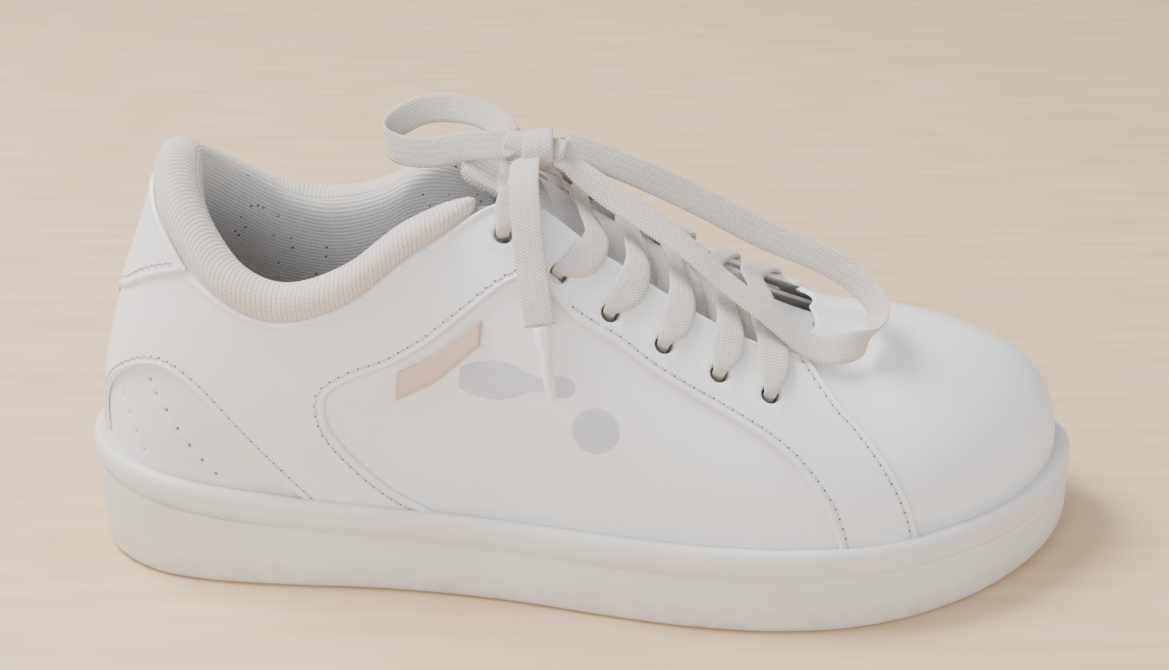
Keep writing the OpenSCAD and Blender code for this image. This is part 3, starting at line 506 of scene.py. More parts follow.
def shell(name, outer, inner, **more):
    """A closed sheet between two grids of points of the same size."""
    n, m = outer.shape[:2]
    size = n * m
    faces = [grid_faces(n, m), grid_faces(n, m, first=size)[:, ::-1]]
    index = np.arange(size).reshape(n, m)
    for line in (index[0], index[-1], index[:, 0], index[:, -1]):
        a, b = line[:-1], line[1:]
        faces.append(np.stack([a, b, b + size, a + size], -1))
    verts = np.concatenate([outer.reshape(-1, 3), inner.reshape(-1, 3)])
    if "uv" in more:
        more["uv"] = np.concatenate([more["uv"].reshape(-1, 2)] * 2)
    return mend(make(name, verts, np.concatenate(faces), **more))


# --- Lines on the surface ---
def resample(points, spacing, side):
    """Points [u, t] along a polyline, an equal distance apart on the shoe."""
    run = lengths(place(side, *points.T, OUTER_O))
    n = max(int(round(run[-1] / spacing)), 2)
    at = np.linspace(0, run[-1], n + 1)
    return np.stack([np.interp(at, run, points[:, k]) for k in (0, 1)], -1)


def curve(line, side=1):
    """A seam line on one side, with 40 points from one place to the next."""
    line = arr(line) * [side, 1]
    return smooth_line(line, 40 * (len(line) - 1) + 1)


def frame_at(side, u, t):
    """The surface's two tangents for steps in u and t, and its normal."""
    h = 0.02
    du = (place(side, u + h, t, OUTER_O) - place(side, u - h, t, OUTER_O)) / (2 * h)
    hi, lo = np.minimum(t + h, 1.999), np.maximum(t - h, 0.0)
    dt = (place(side, u, hi, OUTER_O) - place(side, u, lo, OUTER_O)) / (hi - lo)[..., None]
    return du, dt, normal_at(side, u, t)


def solve(du, dt, v):
    """Steps in u and t that move by v across the surface."""
    a, b, c = (du * du).sum(-1), (du * dt).sum(-1), (dt * dt).sum(-1)
    p, q = (du * v).sum(-1), (dt * v).sum(-1)
    det = np.maximum(a * c - b * b, 1e-9)
    return np.stack([(c * p - b * q) / det, (a * q - b * p) / det], -1)


def shifted(points, distance, side, loop=False):
    """The line moved sideways across the surface, to its left as seen from outside."""
    du, dt, normal = frame_at(side, *points.T)
    p = place(side, *points.T, OUTER_O)
    along = unit(np.roll(p, -1, 0) - np.roll(p, 1, 0) if loop else np.gradient(p, axis=0))
    return points + solve(du, dt, np.cross(normal, along) * distance)


def inside(points, loops):
    """Whether each point is inside the outline and outside its holes."""
    result = np.zeros(len(points), bool)
    x, y = points[:, 0], points[:, 1]
    for loop in loops:
        for (x0, y0), (x1, y1) in zip(loop, np.roll(loop, -1, 0)):
            if y0 != y1:
                result ^= ((y0 > y) != (y1 > y)) & (x < (x1 - x0) * (y - y0) / (y1 - y0) + x0)
    return result


METRIC = arr([20.0, 75.0])


def nearest(points, others):
    best = np.full(len(points), 1e9)
    for start in range(0, len(others), 400):
        d = np.linalg.norm(points[:, None] - others[None, start:start + 400], axis=-1)
        best = np.minimum(best, d.min(1))
    return best


def circle_on(side, s, t, radius, n=28):
    """A round outline on the surface, as points [u, t]."""
    at = np.full((n, 2), [side * s if side else s, t])
    du, dt, normal = frame_at(side, *at.T)
    along = unit(du)
    turn = np.arange(n)[:, None] * 2 * math.pi / n
    return at + solve(du, dt, radius * (np.cos(turn) * along + np.sin(turn) * np.cross(normal, along)))


GRID_STEP = 1.7


def panel(name, side, edges, o_in, thick, material, node=(), holes=(), bead=0.0, radius=1.0):
    """A leather panel from the surface: edges are [line, finished] in order round its outline, where a finished
    edge is rounded and may carry a raised bead; holes are round outlines."""
    def off(points):
        return place(side, *points.T, OUTER_O)

    parts = [resample(line, 0.9, side)[:-1] for line, _ in edges]
    loop, worked = np.concatenate(parts), np.repeat([done for _, done in edges], [len(p) for p in parts])
    loops = [loop] + list(holes)
    rim = off(np.concatenate([loop[worked]] + list(holes)))
    # Points: the outline and holes, rings just inside the edges, and a grid
    outline = np.concatenate(loops)
    outline_at = off(outline)
    points = [outline]

    def keep(more, least):
        more = more[inside(more, loops)]
        if len(more):
            points.append(more[nearest(off(more), outline_at) > least])

    for k, ring in enumerate(loops):
        for d in (0.12, 0.4, 0.9) if k else (0.12, 0.35, 0.7, 1.1, 1.7):
            for sign in (1, -1):
                keep(shifted(ring, sign * d * radius, side, True), 0.85 * d * radius)
    lo, hi = loop.min(0) * METRIC, loop.max(0) * METRIC
    x, y = np.meshgrid(*(np.arange(a, b, GRID_STEP) for a, b in zip(lo, hi)), indexing="ij")
    x = x + GRID_STEP / 2 * (np.arange(x.shape[1]) % 2)[None]
    keep(np.stack([x, y], -1).reshape(-1, 2) / METRIC, 2 * radius)
    joins, start = [], 0
    for ring in loops:
        n = len(ring)
        joins += [(start + i, start + (i + 1) % n) for i in range(n)]
        start += n
    out = geometry.delaunay_2d_cdt([tuple(p) for p in np.concatenate(points) * METRIC], joins, [], 0, 1e-5)
    flat, faces = arr([tuple(v) for v in out[0]]), np.array([f for f in out[2] if len(f) == 3])
    faces = faces[inside(flat[faces].mean(1), [r * METRIC for r in loops])]
    uv = flat / METRIC
    back, normal = place(side, *uv.T, o_in), normal_at(side, *uv.T)
    a, b, c = back[faces].swapaxes(0, 1)
    wrong = (np.cross(b - a, c - a) * normal[faces].mean(1)).sum(-1) < 0
    faces[wrong] = faces[wrong][:, ::-1]
    far = nearest(off(uv), rim) if len(rim) else np.full(len(uv), 99.0)
    height = thick * (0.22 + 0.78 * rounded(far / radius))
    height += bead * np.exp(-((far - 0.8) / 0.5) ** 2) - 0.35 * bead * np.exp(-((far - 2.1) / 0.7) ** 2)
    n = len(uv)
    seen = {e: True for a, b, c in faces for e in ((a, b), (b, c), (c, a))}
    walls = [(b, a, a + n, b + n) for a, b in seen if (b, a) not in seen]
    faces = [tuple(f) for f in faces] + [(c + n, b + n, a + n) for a, b, c in faces] + walls
    used = np.unique(np.concatenate(faces))
    where = np.zeros(2 * n, int)
    where[used] = np.arange(len(used))
    verts = np.concatenate([back + height[:, None] * normal, back])[used]
    make(name, verts, [where[list(f)] for f in faces], material, node=node)


STITCH_PITCH, STITCH_L, THREAD_R, NEEDLE_R = 3.0, 2.2, 0.26, 0.34


def stitches(name, side, line, offset):
    """A row of thread stitches along a line [u, t], with a painted-shade disc for the needle hole before each."""
    points = resample(line, STITCH_PITCH, side)
    p, n = place(side, *points.T, offset), normal_at(side, *points.T)
    verts, faces, hole_shade_verts, hole_shade_faces = [], [], [], []
    turn = np.arange(6) * math.pi / 3
    for i in range(len(p) - 1):
        d = unit(p[i + 1] - p[i])
        w = np.cross(n[i], d)
        base = len(verts)
        for x, lift, r in ((-0.5, -0.18, 0.5), (-0.38, 0.08, 0.9), (0, 0.2, 1), (0.38, 0.08, 0.9), (0.5, -0.18, 0.5)):
            centre = p[i] + d * x * STITCH_L + n[i] * lift
            verts += [centre + THREAD_R * r * (math.cos(a) * w + math.sin(a) * n[i]) for a in turn]
        faces += [tuple(f) for f in grid_faces(5, 6, True, base)]
        faces += [tuple(base + k for k in range(6)), tuple(base + 24 + k for k in range(5, -1, -1))]
        # A dark disc a little above the leather: painted shade for the needle hole.
        centre = p[i] - 0.62 * STITCH_L * d
        start = len(hole_shade_verts)
        hole_shade_verts.append(centre + 0.04 * n[i])
        for lift in (0.02, -0.25):
            hole_shade_verts += [centre + NEEDLE_R * (math.cos(a) * w + math.sin(a) * d) + lift * n[i] for a in turn]
        for k in range(6):
            m = (k + 1) % 6
            hole_shade_faces += [(start, start + 1 + m, start + 1 + k),
                           (start + 1 + k, start + 1 + m, start + 7 + m, start + 7 + k)]
        hole_shade_faces.append(tuple(start + 7 + k for k in range(6)))
    make(name, verts, faces, THREAD)
    make(name + "_needle_holes", hole_shade_verts, hole_shade_faces, NEEDLE_HOLE_SHADE)


# --- Laces and cords ---
ROLL_N = 14


def ribbon(name, points, across, widths, thick, fine=5, node=()):
    """A flat lace through points; across gives its width direction and widths its width at each."""
    p, a, w = (smooth_line(arr(v), (len(v) - 1) * fine + 1) for v in (points, across, widths))
    d = unit(np.gradient(p, axis=0))
    a = unit(a - (a * d).sum(-1, keepdims=True) * d)
    up = np.cross(d, a)
    turn = np.arange(ROLL_N) * 2 * math.pi / ROLL_N
    c, s = np.cos(turn), np.sin(turn)
    x, y = np.sign(c) * np.abs(c) ** 0.75, np.sign(s) * np.abs(s) ** 0.65
    full = thick * np.clip(1.25 - 0.25 * w / LACE_W, 1, 1.3)
    ring = p[:, None] + x[:, None] * (w / 2)[:, None, None] * a[:, None] \
        + y[:, None] * (full / 2)[:, None, None] * up[:, None]
    run, k = lengths(p), len(p)
    uv = np.stack(np.broadcast_arrays(run[:, None], x[None] * LACE_W / 2), -1)
    faces = [tuple(f) for f in grid_faces(k, ROLL_N, True)]
    faces += [tuple(range(ROLL_N)), tuple((k - 1) * ROLL_N + i for i in range(ROLL_N - 1, -1, -1))]
    piece = make(name, ring.reshape(-1, 3), faces, BRAID, uv=uv.reshape(-1, 2), slot="lace", node=node)
    return mend(piece, join=False), p, run[-1]


LOOP_FRONT = [[-2, -1, 121, 0.1, 0.6, 0.8], [6, 1, 117.5, 0.3, 0.5, 0.8], [18, 2.5, 112, 0.4, 0.4, 0.8],
    [35, 4.5, 103, 0.4, 0.4, 0.8], [53, 5, 93, 0.4, 0.4, 0.8], [70, 4, 86, 0.5, 0.3, 0.8], [81, 0, 80, 0.6, 0, 0.8],
    [85.5, -7, 75, 0.6, -0.3, 0.7], [83, -14, 71, 0.6, 0.1, 0.7], [75, -18.5, 68.5, 0.4, 0.6, 0.6],
    [66, -20, 70, 0.2, 0.8, 0.5], [53, -19, 80, 0.1, 0.9, 0.4], [42, -16.5, 88, 0.1, 0.9, 0.4],
    [33, -14, 95.5, 0.2, 0.9, 0.4], [23, -11, 102, 0.3, 0.8, 0.5], [12, -8, 108.5, 0.3, 0.7, 0.6],
    [3, -5.5, 114.5, 0.2, 0.8, 0.5], [-2, -4, 118, 0, 1, 0.2]]
LOOP_BACK = [[-18, 1, 123.5, 0.2, 0.9, 0.4], [-22, 6, 126, 0.2, 0.7, 0.7], [-30, 9, 128, 0.2, 0.6, 0.8],
    [-41, 8.5, 128.5, 0, 0.3, 1], [-49, 5.5, 125.5, -0.1, 0.1, 1], [-51.5, 0.5, 123, -0.1, 0, 1],
    [-48, -4, 121, 0, 0.2, 1], [-39, -6, 120.5, 0, 0.3, 1], [-29, -6, 122.5, 0.1, 0.4, 0.9],
    [-22, -5.5, 122.5, 0.1, 0.6, 0.7], [-18, -3.5, 122, 0, 0.8, 0.4]]
TAIL_LAT = [[-12, -8.5, 119, 1, 0, 0.2], [-11.5, -16.5, 119.5, 1, 0, 0.2], [-11, -23.5, 116, 1, 0, 0.2],
    [-10, -28.5, 109.5, 1, 0, 0.2], [-9, -32.5, 101, 1, 0, 0.1], [-7.5, -37, 92.5, 1, 0, 0.1],
    [-6, -40.5, 84.5, 1, 0, 0.1]]
TAIL_MED = [[-11, 5, 120, -1, 0, 0.2], [-7, 13, 119, -1, 0, 0.2], [-2, 23, 111.5, -1, 0, 0.2],
    [1, 31, 99.5, -1, 0, 0.1], [4, 37, 85, -1, 0, 0.1], [6, 40, 74, -1, 0, 0.1]]
AGLET_L, FREE_W = 20, LACE_W * 0.92


def free_half(name, loop, through, tail, loop_node, word):
    """One half of the bow: a loop, the stretch through the knot, and a tail with its plastic tip. Each row is a
    point and the lace's width direction there."""
    rows = arr(loop + through + tail)
    widths = [FREE_W] * len(loop) + [LACE_W * 0.7] * len(through) + [FREE_W] * len(tail)
    piece, path, length = ribbon(name, rows[:, :3], rows[:, 3:], widths, LACE_T, fine=8,
                                 node=(loop_node, "lace_tail_" + word))
    back, tip = rows[-2:, :3]
    d = unit(tip - back)
    side = unit(np.cross(d, [0, 0, 1]))
    up = np.cross(side, d)
    turn = np.arange(20) * math.pi / 10
    verts = []
    for x, r in ((0.2, 1.35), (0.4, 1.7), (1.2, 1.75), (AGLET_L * 0.5, 1.55), (AGLET_L - 0.8, 1.35), (AGLET_L, 1.0)):
        flat = 1.25 - 0.25 * x / AGLET_L
        verts += [tip + d * x + r * (flat * math.cos(a) * side + math.sin(a) / flat * up) for a in turn]
    faces = [tuple(f) for f in grid_faces(6, 20, True)] + [tuple(range(19, -1, -1)), tuple(range(100, 120))]
    aglet = make(name + "_aglet", verts, faces, CLEAR_TIP, node="aglet_" + word, slot="aglet")


free_half("lace_bow_front", LOOP_FRONT, [[-7, -1.5, 119.5, 0.6, 0.7, 0], [-11, -4, 119, 0.9, 0.3, 0.1]], TAIL_LAT,
          "lace_loop_front", "lateral")
free_half("lace_bow_back", LOOP_BACK, [[-14, -1.5, 121, -0.4, 0.8, 0], [-12, 1.5, 120.5, -0.9, 0.3, 0.1]], TAIL_MED,
          "lace_loop_back", "medial")


def knot():
    """The bow's knot: one turn of lace wrapped over the crossing, and the crossing itself."""
    turn = np.linspace(0, 2 * math.pi, 15)[:-1]
    centre = arr([-10, -2, 120.5])
    points = [centre + arr([1.2 * math.sin(a * 0.5), 5.3 * math.cos(a), 4.6 * math.sin(a)]) for a in turn]
    points.append(points[0] + arr([0.9, 0, 0]))
    across = [[1, 0.18 * math.sin(a), 0.1] for a in turn] + [[1, 0, 0.1]]
    ribbon("lace_knot_wrap", points, across, [8.4] * len(points), LACE_T * 1.15, node="lace_knot")
    core = [[-18.5, -1.5, 122.5], [-14.5, -1.5, 121.5], [-10, -2, 120.5], [-5.5, -2, 120], [-1.5, -2.5, 119.5]]
    ribbon("lace_knot_core", core, [[0, 1, 0.3]] * 5, [7.5, 8, 8, 8, 7], 5.4)


knot()

# --- Seam lines, each a list of places [s, t] ---
HOLES = [[6.93, 0.81], [7.5, 0.72], [8.1, 0.69], [8.7, 0.66], [9.32, 0.63], [9.9, 0.61]]
EYESTAY_LOW = [[7.22, 0.675], [7.65, 0.61], [8.1, 0.60], [8.5, 0.56], [8.9, 0.53], [9.3, 0.50], [9.75, 0.45],
    [10.05, 0.39], [10.28, 0.31], [10.45, 0.22], [10.57, 0.11], [10.65, 0]]
EYESTAY_FRONT = [[10.45, 0.83], [10.72, 0.67], [10.95, 0.58], [11.2, 0.44], [11.42, 0.25], [11.6, 0]]
THROAT = [[7.21, 0.935], [7.7, 0.91], [8.2, 0.89], [8.75, 0.855], [9.25, 0.825], [9.8, 0.805], [10.45, 0.83]]
COLLAR_EDGE = [[0, 0.93], [0.7, 0.93], [1.3, 0.92], [2.05, 0.905], [2.75, 0.93], [3.45, 0.935], [4.15, 0.94],
    [4.85, 0.94], [5.5, 0.94], [6.1, 0.94], [6.7, 0.94], [7.21, 0.935]]
TAB_SEAM = [[0, 0.51], [0.7, 0.61], [1.35, 0.76], [1.85, 0.865], [2.1, 0.915]]
SIDE_WINDOW = [[6.25, 0], [5.8, 0.09], [5.35, 0.18], [4.95, 0.31], [4.65, 0.44], [4.57, 0.54], [4.66, 0.61],
    [5.05, 0.64], [5.6, 0.62], [6.2, 0.615], [6.7, 0.62], [7.22, 0.675]]
HEEL_WINDOW = [[0.62, 0], [0.64, 0.1], [0.76, 0.22], [1.05, 0.33], [1.55, 0.46], [2, 0.525], [2.5, 0.53],
    [2.95, 0.485], [3.35, 0.40], [3.7, 0.30], [4, 0.20], [4.25, 0.11], [4.5, 0]]
VAMP_REAR = [[11.2, 0], [10.98, 0.25], [10.75, 0.45], [10.5, 0.63], [10.42, 0.78], [10.55, 0.94], [10.78, 1.2],
    [10.94, 1.6], [11, 2]]


def seam_row(name, side, line, distance, offset, lowest=0.01, last=None):
    """Stitches beside a seam line [u, t], its own distance from it and down to a lowest t."""
    row = shifted(resample(line, 0.9, side), -distance * side, side)[:last]
    stitches("stitching_" + name, side, row[row[:, 1] > lowest], offset)


def overlay(side, word):
    """Everything cut from the outer layer on one side: quarter, windows and eyestay, as one piece of leather."""
    outline = [([[0, 0], [0.62, 0]], 0), (HEEL_WINDOW, 1), ([[4.5, 0], [6.25, 0]], 0), (SIDE_WINDOW, 1),
               (EYESTAY_LOW, 1), ([[10.65, 0], [11.6, 0]], 0), (EYESTAY_FRONT, -1), (THROAT, -1), (COLLAR_EDGE, -1),
               ([[0, 0.93], [0, 0]], 0)]
    edges = [(curve(line, side)[::-1 if kind < 0 else 1], kind != 0) for line, kind in outline]
    holes = [circle_on(side, s, t, HOLE_D / 2) for s, t in HOLES]
    panel("upper_overlay_" + word, side, edges, OVER_O, LEATHER_T, WHITE,
          node=("quarter_" + word, "eyestay_" + word), holes=holes, bead=0.55)
    for tag, line, d, lowest in (("side_window", SIDE_WINDOW, 2.4, 0.01), ("heel_window", HEEL_WINDOW, 2.4, 0.03),
                                 ("eyestay", EYESTAY_LOW[1:], 2.4, 0.01), ("toe", EYESTAY_FRONT, -2.4, 0.01)):
        seam_row(tag + "_" + word, side, curve(line, side), d, OUTER_O - 0.05, lowest)


def side_panel(side, word):
    """The leather seen through the side window."""
    high = [[3.9, 0.35], [4.0, 0.60], [4.6, 0.74], [5.6, 0.74], [6.6, 0.72], [7.3, 0.72], [8.3, 0.62], [9.3, 0.54],
            [10.1, 0.45], [10.95, 0.14]]
    lines = [[[4.0, 0], [6.2, 0], [8.3, 0], [10.95, 0]], [[10.95, 0], [10.95, 0.14]], high, [[3.9, 0.35], [4.0, 0]]]
    edges = [(curve(line, side)[::-1 if line is high else 1], False) for line in lines]
    panel("side_panel_leather_" + word, side, edges, BASE_O, LEATHER_T, WHITE, node="side_panel_" + word)


DOTS = [[1.95, 0.41], [2.2, 0.375], [2.45, 0.325], [2.68, 0.275], [2.9, 0.225], [3.1, 0.175], [1.78, 0.44],
    [1.3, 0.31], [1.5, 0.265], [1.7, 0.215], [1.88, 0.165]]


def heel():
    """The punched panel at the back and the tab above it, both round the heel."""
    holes = [circle_on(0, side * s, t, 0.5, 10) for side in (LAT, MED) for s, t in DOTS]
    low = arr([[u, 0] for u in np.linspace(-4.75, 4.75, 60)])
    high = [[4.75, 0.06], [4.2, 0.34], [3.2, 0.60], [2.2, 0.66], [1.1, 0.60], [0, 0.56]]
    lines = [low, arr([[4.75, 0], [4.75, 0.06]]), curve(high), curve(high, -1)[::-1],
             arr([[-4.75, 0.06], [-4.75, 0]])]
    panel("heel_panel_leather", 0, [(line, False) for line in lines], BASE_O, LEATHER_T, WHITE_PUNCHED,
          node="heel_panel", holes=holes)
    top = [[2.1, 0.915], [1.7, 0.925], [0.9, 0.935], [0, 0.935]]
    lines = [curve(TAB_SEAM, -1)[::-1], curve(TAB_SEAM), curve(top), curve(top, -1)[::-1]]
    panel("heel_tab_leather", 0, [(line, True) for line in lines], OUTER_O + 0.05, 0.9, WHITE, node="heel_tab",
          bead=0.4)
    for side, word in SIDES:
        seam_row("heel_tab_" + word, side, curve(TAB_SEAM, side), 3.0, OUTER_O + 0.95, last=-3)


def toe_vamp():
    """The toe leather, from a line under the instep round to the tip, its rear edge rounded."""
    rear, t = smooth_line(VAMP_REAR, 46).T
    s = rear + (LAST - rear) * (np.linspace(0, 1, 60) ** 1.15)[:, None]
    t = np.broadcast_to(t, s.shape)
    drop = LEATHER_T * 0.8 * (1 - rounded((s - rear) * 20))

    def layer(o):
        lateral, medial = (on_skin(side, s, t, o) for side in (LAT, MED))
        return np.concatenate([lateral, medial[:, ::-1][:, 1:]], axis=1)

    shell("toe_vamp_leather", layer(BASE_O + LEATHER_T - drop), layer(BASE_O), material=WHITE, node="toe_vamp")


def collar():
    """The padded knit collar: a band swept round the ankle, and the knit lining that runs down into the shoe."""
    end, narrow, turned = 6.6, 5.4, 6.15
    out = [[3.3, 9], [3.45, 4.7], [4.6, 2.9], [5.4, 0.4], [4.6, -2.6], [2.4, -4.6], [-0.6, -5.2], [-3.6, -4.3],
           [-5.9, -1.9], [-6.8, 2], [-6.6, 9], [-5.2, 18], [-2.8, 29], [-0.9, 40], [0, 48]]
    deep, drop = smooth_line(out, 96).T
    rows = []
    for u in np.linspace(-end, end, 260):
        side, s = (MED, -u) if u < 0 else (LAT, u)
        swell = 1 if s < narrow else 1 - 0.8 * (s - narrow) / (end - narrow)
        length = np.linalg.norm(skin(side, s, 1.0) - skin(side, s, 0.0)) * 1.02
        o = np.where(deep < 0, deep * swell, deep)
        rise = 0.4 + 0.6 * swell
        if s > turned:
            taper = 0.2 + 0.8 * math.sqrt(1 - ((s - turned) / (end - turned)) ** 2)
            o = np.where(o > 2.2, 2.2 + (o - 2.2) * taper, o)
            rise *= taper
        puff = 0.35 * math.sin(u * 2.1) * math.sin(u * 0.9 + 1) * np.exp(-((drop + 1) / 5) ** 2)
        d = np.where(drop < 0, drop * rise, drop)
        t = np.clip(1 - d / length, 0.0, 1.0)
        p = on_skin(side, np.full(t.shape, s), t, o + np.sign(deep) * puff)
        p = p + np.maximum(-d, 0)[:, None] * unit(skin(side, s, 1.0) - skin(side, s, 0.97))
        low = np.linspace(t[-1], 0.0, 12)[1:]
        rows.append(np.concatenate([p, on_skin(side, np.full(11, s), low, np.zeros(11))]))
    outer = arr(rows)
    run = np.broadcast_to(lengths(outer[:, 30])[:, None], outer.shape[:2])
    uv = np.stack([run, arr([lengths(p) for p in outer])], -1)
    # The back of the knit lies inside it by its own thickness
    inner = outer + 0.6 * unit(np.cross(np.gradient(outer, axis=0), np.gradient(outer, axis=1)))
    rim, inside = (slice(None), slice(0, 50)), (slice(None), slice(49, None))
    piece = shell("collar_knit", outer[rim], inner[rim], material=KNIT, slot="knit", uv=uv[rim],
                  node=("collar_lining", "collar_foam"))
    shell("collar_knit_inside", outer[inside], inner[inside], material=KNIT_INSIDE, slot="knit", uv=uv[inside])


TONGUE_EDGE = [[6.5, 1.5], [6.62, 1.36], [6.85, 1.18], [7.12, 0.98], [7.5, 0.84], [8, 0.76], [8.6, 0.73],
    [9.3, 0.71], [10, 0.72], [10.6, 0.78], [11.2, 0.9]]
KNIT_TOP_X = -20


def tongue():
    """The tongue: a leather face over a padded body that bulges between its edges."""
    n, m = 90, 61
    s, low = smooth_line(TONGUE_EDGE, n)[:, :, None].swapaxes(0, 1)
    across = np.linspace(-1, 1, m)
    t = 2 + (low - 2) * np.abs(across)
    s = np.broadcast_to(s, t.shape)

    def sheet(depth):
        return np.where(across[:, None] <= 0, on_skin(LAT, s, t, depth), on_skin(MED, s, t, depth))

    top = 1 - np.clip(1 - np.linspace(0, 8, n), 0, 1)[:, None] ** 2 * 0.5
    full = np.sqrt(np.clip((1 - np.abs(across) ** 6) * top, 0.02, 1))
    front, middle, back = sheet(-2.5 - 0.6 * (1 - full)), sheet(np.full((n, m), -3.5)), sheet(-3.7 - 5.2 * full)
    uv = np.stack([np.cumsum(np.linalg.norm(np.gradient(back, axis=k), axis=2), axis=k) for k in (1, 0)], -1)
    face = shell("tongue_leather", front, middle, material=WHITE, body="tongue", node="tongue_face", uv=uv)
    face.data.materials.append(KNIT)
    for polygon in face.data.polygons:
        polygon.material_index = int(polygon.center.x < KNIT_TOP_X * MM)
    pad = shell("tongue_padded_lining", middle, back, material=KNIT_INSIDE, slot="knit", uv=uv, body="tongue",
                node=("tongue_padding", "tongue_lining"))


def side_tab():
    """A loop of cloth tape, folded and sewn under the quarter's edge."""
    top = smooth_line([[5.62, 0.585], [6.15, 0.572], [6.68, 0.572]], 50)[:, None]
    low = smooth_line([[5.56, 0.50], [6.1, 0.495], [6.64, 0.505]], 50)[:, None]
    part = np.linspace(0, 1, 15)
    s, t = np.moveaxis(low + (top - low) * part[:, None], -1, 0)
    mid = BASE_O + LEATHER_T + 0.35 + 0.7
    half = np.broadcast_to(0.7 * (0.25 + 0.75 * rounded(part / 0.22)), s.shape)
    shell("side_tab_tape", on_skin(LAT, s, t, mid + half), on_skin(LAT, s, t, mid - half), material=TAB_CLOTH,
          slot="tab_cloth", body="side_tab", node="side_tab")


def sole():
    """The cup sole, one moulding: wall, raised top band and lip."""
    n = 330
    half = np.linspace(0, LAST, n)
    s = np.concatenate([half, half[-2:0:-1]])
    lateral = (np.arange(len(s)) < n)[:, None]
    base, out = (np.where(lateral, find(LAT, s), find(MED, s)) for find in (foot, outward))
    z, b = spline(LIP_Z, s), spline(SPRING_Z, s)
    band, y = np.clip(1 - 0.7 * (s - 9) / 4, 0.3, 1), z - BAND_DROP
    # Steps up the wall: how far out from it, how far out where the band is full, and the height
    steps = [(-3, 0, b), (-1.6, 0, b + 0.12), (-0.6, 0, b + 0.8), (0, 0, b + 2.4), (0.15, 0, b + 6),
             (0.1, 0, (b + y + 4.2) / 2), (0, 0, y - 1.2), (0, -0.1, y - 0.5), (0, -0.8, y + 0.1),
             (0, -0.75, y + 0.55), (0, 0.1, y + 1.2), (0, 0.5, y + 2.6), (0, 0.5, z - 4.2), (0, 0.15, z - 2.2),
             (-0.7, 0, z - 0.9), (-1.8, 0, z - 0.6), (-3.4, 0, z - 1.1), (-4.8, 0, z - 1.9), (-5.6, 0, z - 2.6),
             (-5.8, 0, z - 4)]
    prof = np.stack([np.stack([SOLE_WALL + fixed + more * band, up], -1) for fixed, more, up in steps])
    prof = smooth_line(prof, 3 * (len(steps) - 1) + 1).swapaxes(0, 1)
    prof[:, :, 1] = np.maximum(prof[:, :, 1], b[:, None])
    ring = np.concatenate([base[:, None] + prof[:, :, :1] * out[:, None], prof[:, :, 1:]], -1)
    inner = np.concatenate([base + (SOLE_WALL - 5.8) * out, np.full((len(s), 1), SOLE_FLOOR)], 1)
    ring = np.concatenate([ring, inner[:, None]], 1)
    c, r = ring.shape[:2]
    faces = [(i * r + q, j * r + q, j * r + q + 1, i * r + q + 1)
             for i, j in zip(range(c), [*range(1, c), 0]) for q in range(r - 1)]
    for i in range(n - 1):
        under = i * r, (c - i) % c * r, (c - i - 1) * r, (i + 1) * r
        faces += [under, tuple(k + r - 1 for k in under[:1] + under[:0:-1])]
    mend(make("cup_sole_moulding", ring.reshape(-1, 3), faces, RUBBER, slot="sole_rubber", node="cup_sole"))


def insole():
    """The cloth-topped sock, thinner at its edge."""
    s, part = np.linspace(0, LAST, 150), np.linspace(-1, 1, 41)
    low = spline(BOARD_Z, s)[:, None] + 0.4
    a, b = ((foot(side, s) - 0.9 * outward(side, s))[:, None] for side in (LAT, MED))
    xy = (a * (1 - part)[:, None] + b * (1 + part)[:, None]) / 2
    thick = 3.3 - 0.9 * np.clip((np.abs(part) - 0.86) / 0.14, 0, 1) ** 2
    top, under = (np.concatenate([xy, (low + up)[..., None]], -1) for up in (thick, np.zeros(41)))
    shell("insole_cloth_top", top, under, material=INSOLE_CLOTH, slot="insole_cloth", body="insole", node="insole")


# --- Threaded lace ---
THROAT_EDGE = [0.945, 0.92, 0.895, 0.86, 0.825, 0.805]
SLANT = [0, 0.4, 0.3, 0.22, 0.16, 0.1]
LACE_OVER, LACE_UNDER, SLIM, MID_W = OUTER_O + 1.3, -1.15, HOLE_D * 0.7, LACE_W * 0.58


def rows_on(side, *rows):
    return [[side, *row] for row in rows]


def crossing(side, i, rise):
    """From inside hole i, out under that edge of the throat, over the other edge and down into the next hole.
    Each row is a side, a place [s, t] on it, the height over the skin and the lace's width."""
    (s, t), (u, v), edge, far_edge, slant = *HOLES[i:i - 2:-1], THROAT_EDGE[i], THROAT_EDGE[i - 1], SLANT[i - 1]
    mid = (s + u) / 2
    return rows_on(side, [s, t + 0.01, LACE_UNDER + 0.45, SLIM],
                   [s, t + 0.4 * (edge - t), LACE_UNDER, SLIM + 1.5], [s - 0.02, edge - 0.02, LACE_UNDER, MID_W],
                   [s * 0.9 + u * 0.1, 1, 0, MID_W], [s * 0.8 + u * 0.2, 1.25, 0.9, MID_W], [mid, 2, rise, MID_W]) \
        + rows_on(-side, [(mid + u + slant) / 2, 1.25, 3, MID_W],
                  [u + slant, far_edge + 0.01, LACE_OVER, LACE_W * 0.85],
                  [u + 0.6 * slant, v + 0.45 * (far_edge - v), LACE_OVER, LACE_W],
                  [u, v + 0.01, OUTER_O + 0.75, SLIM + 0.4], [u, v, 2.4, SLIM], [u, v - 0.01, -0.7, SLIM])


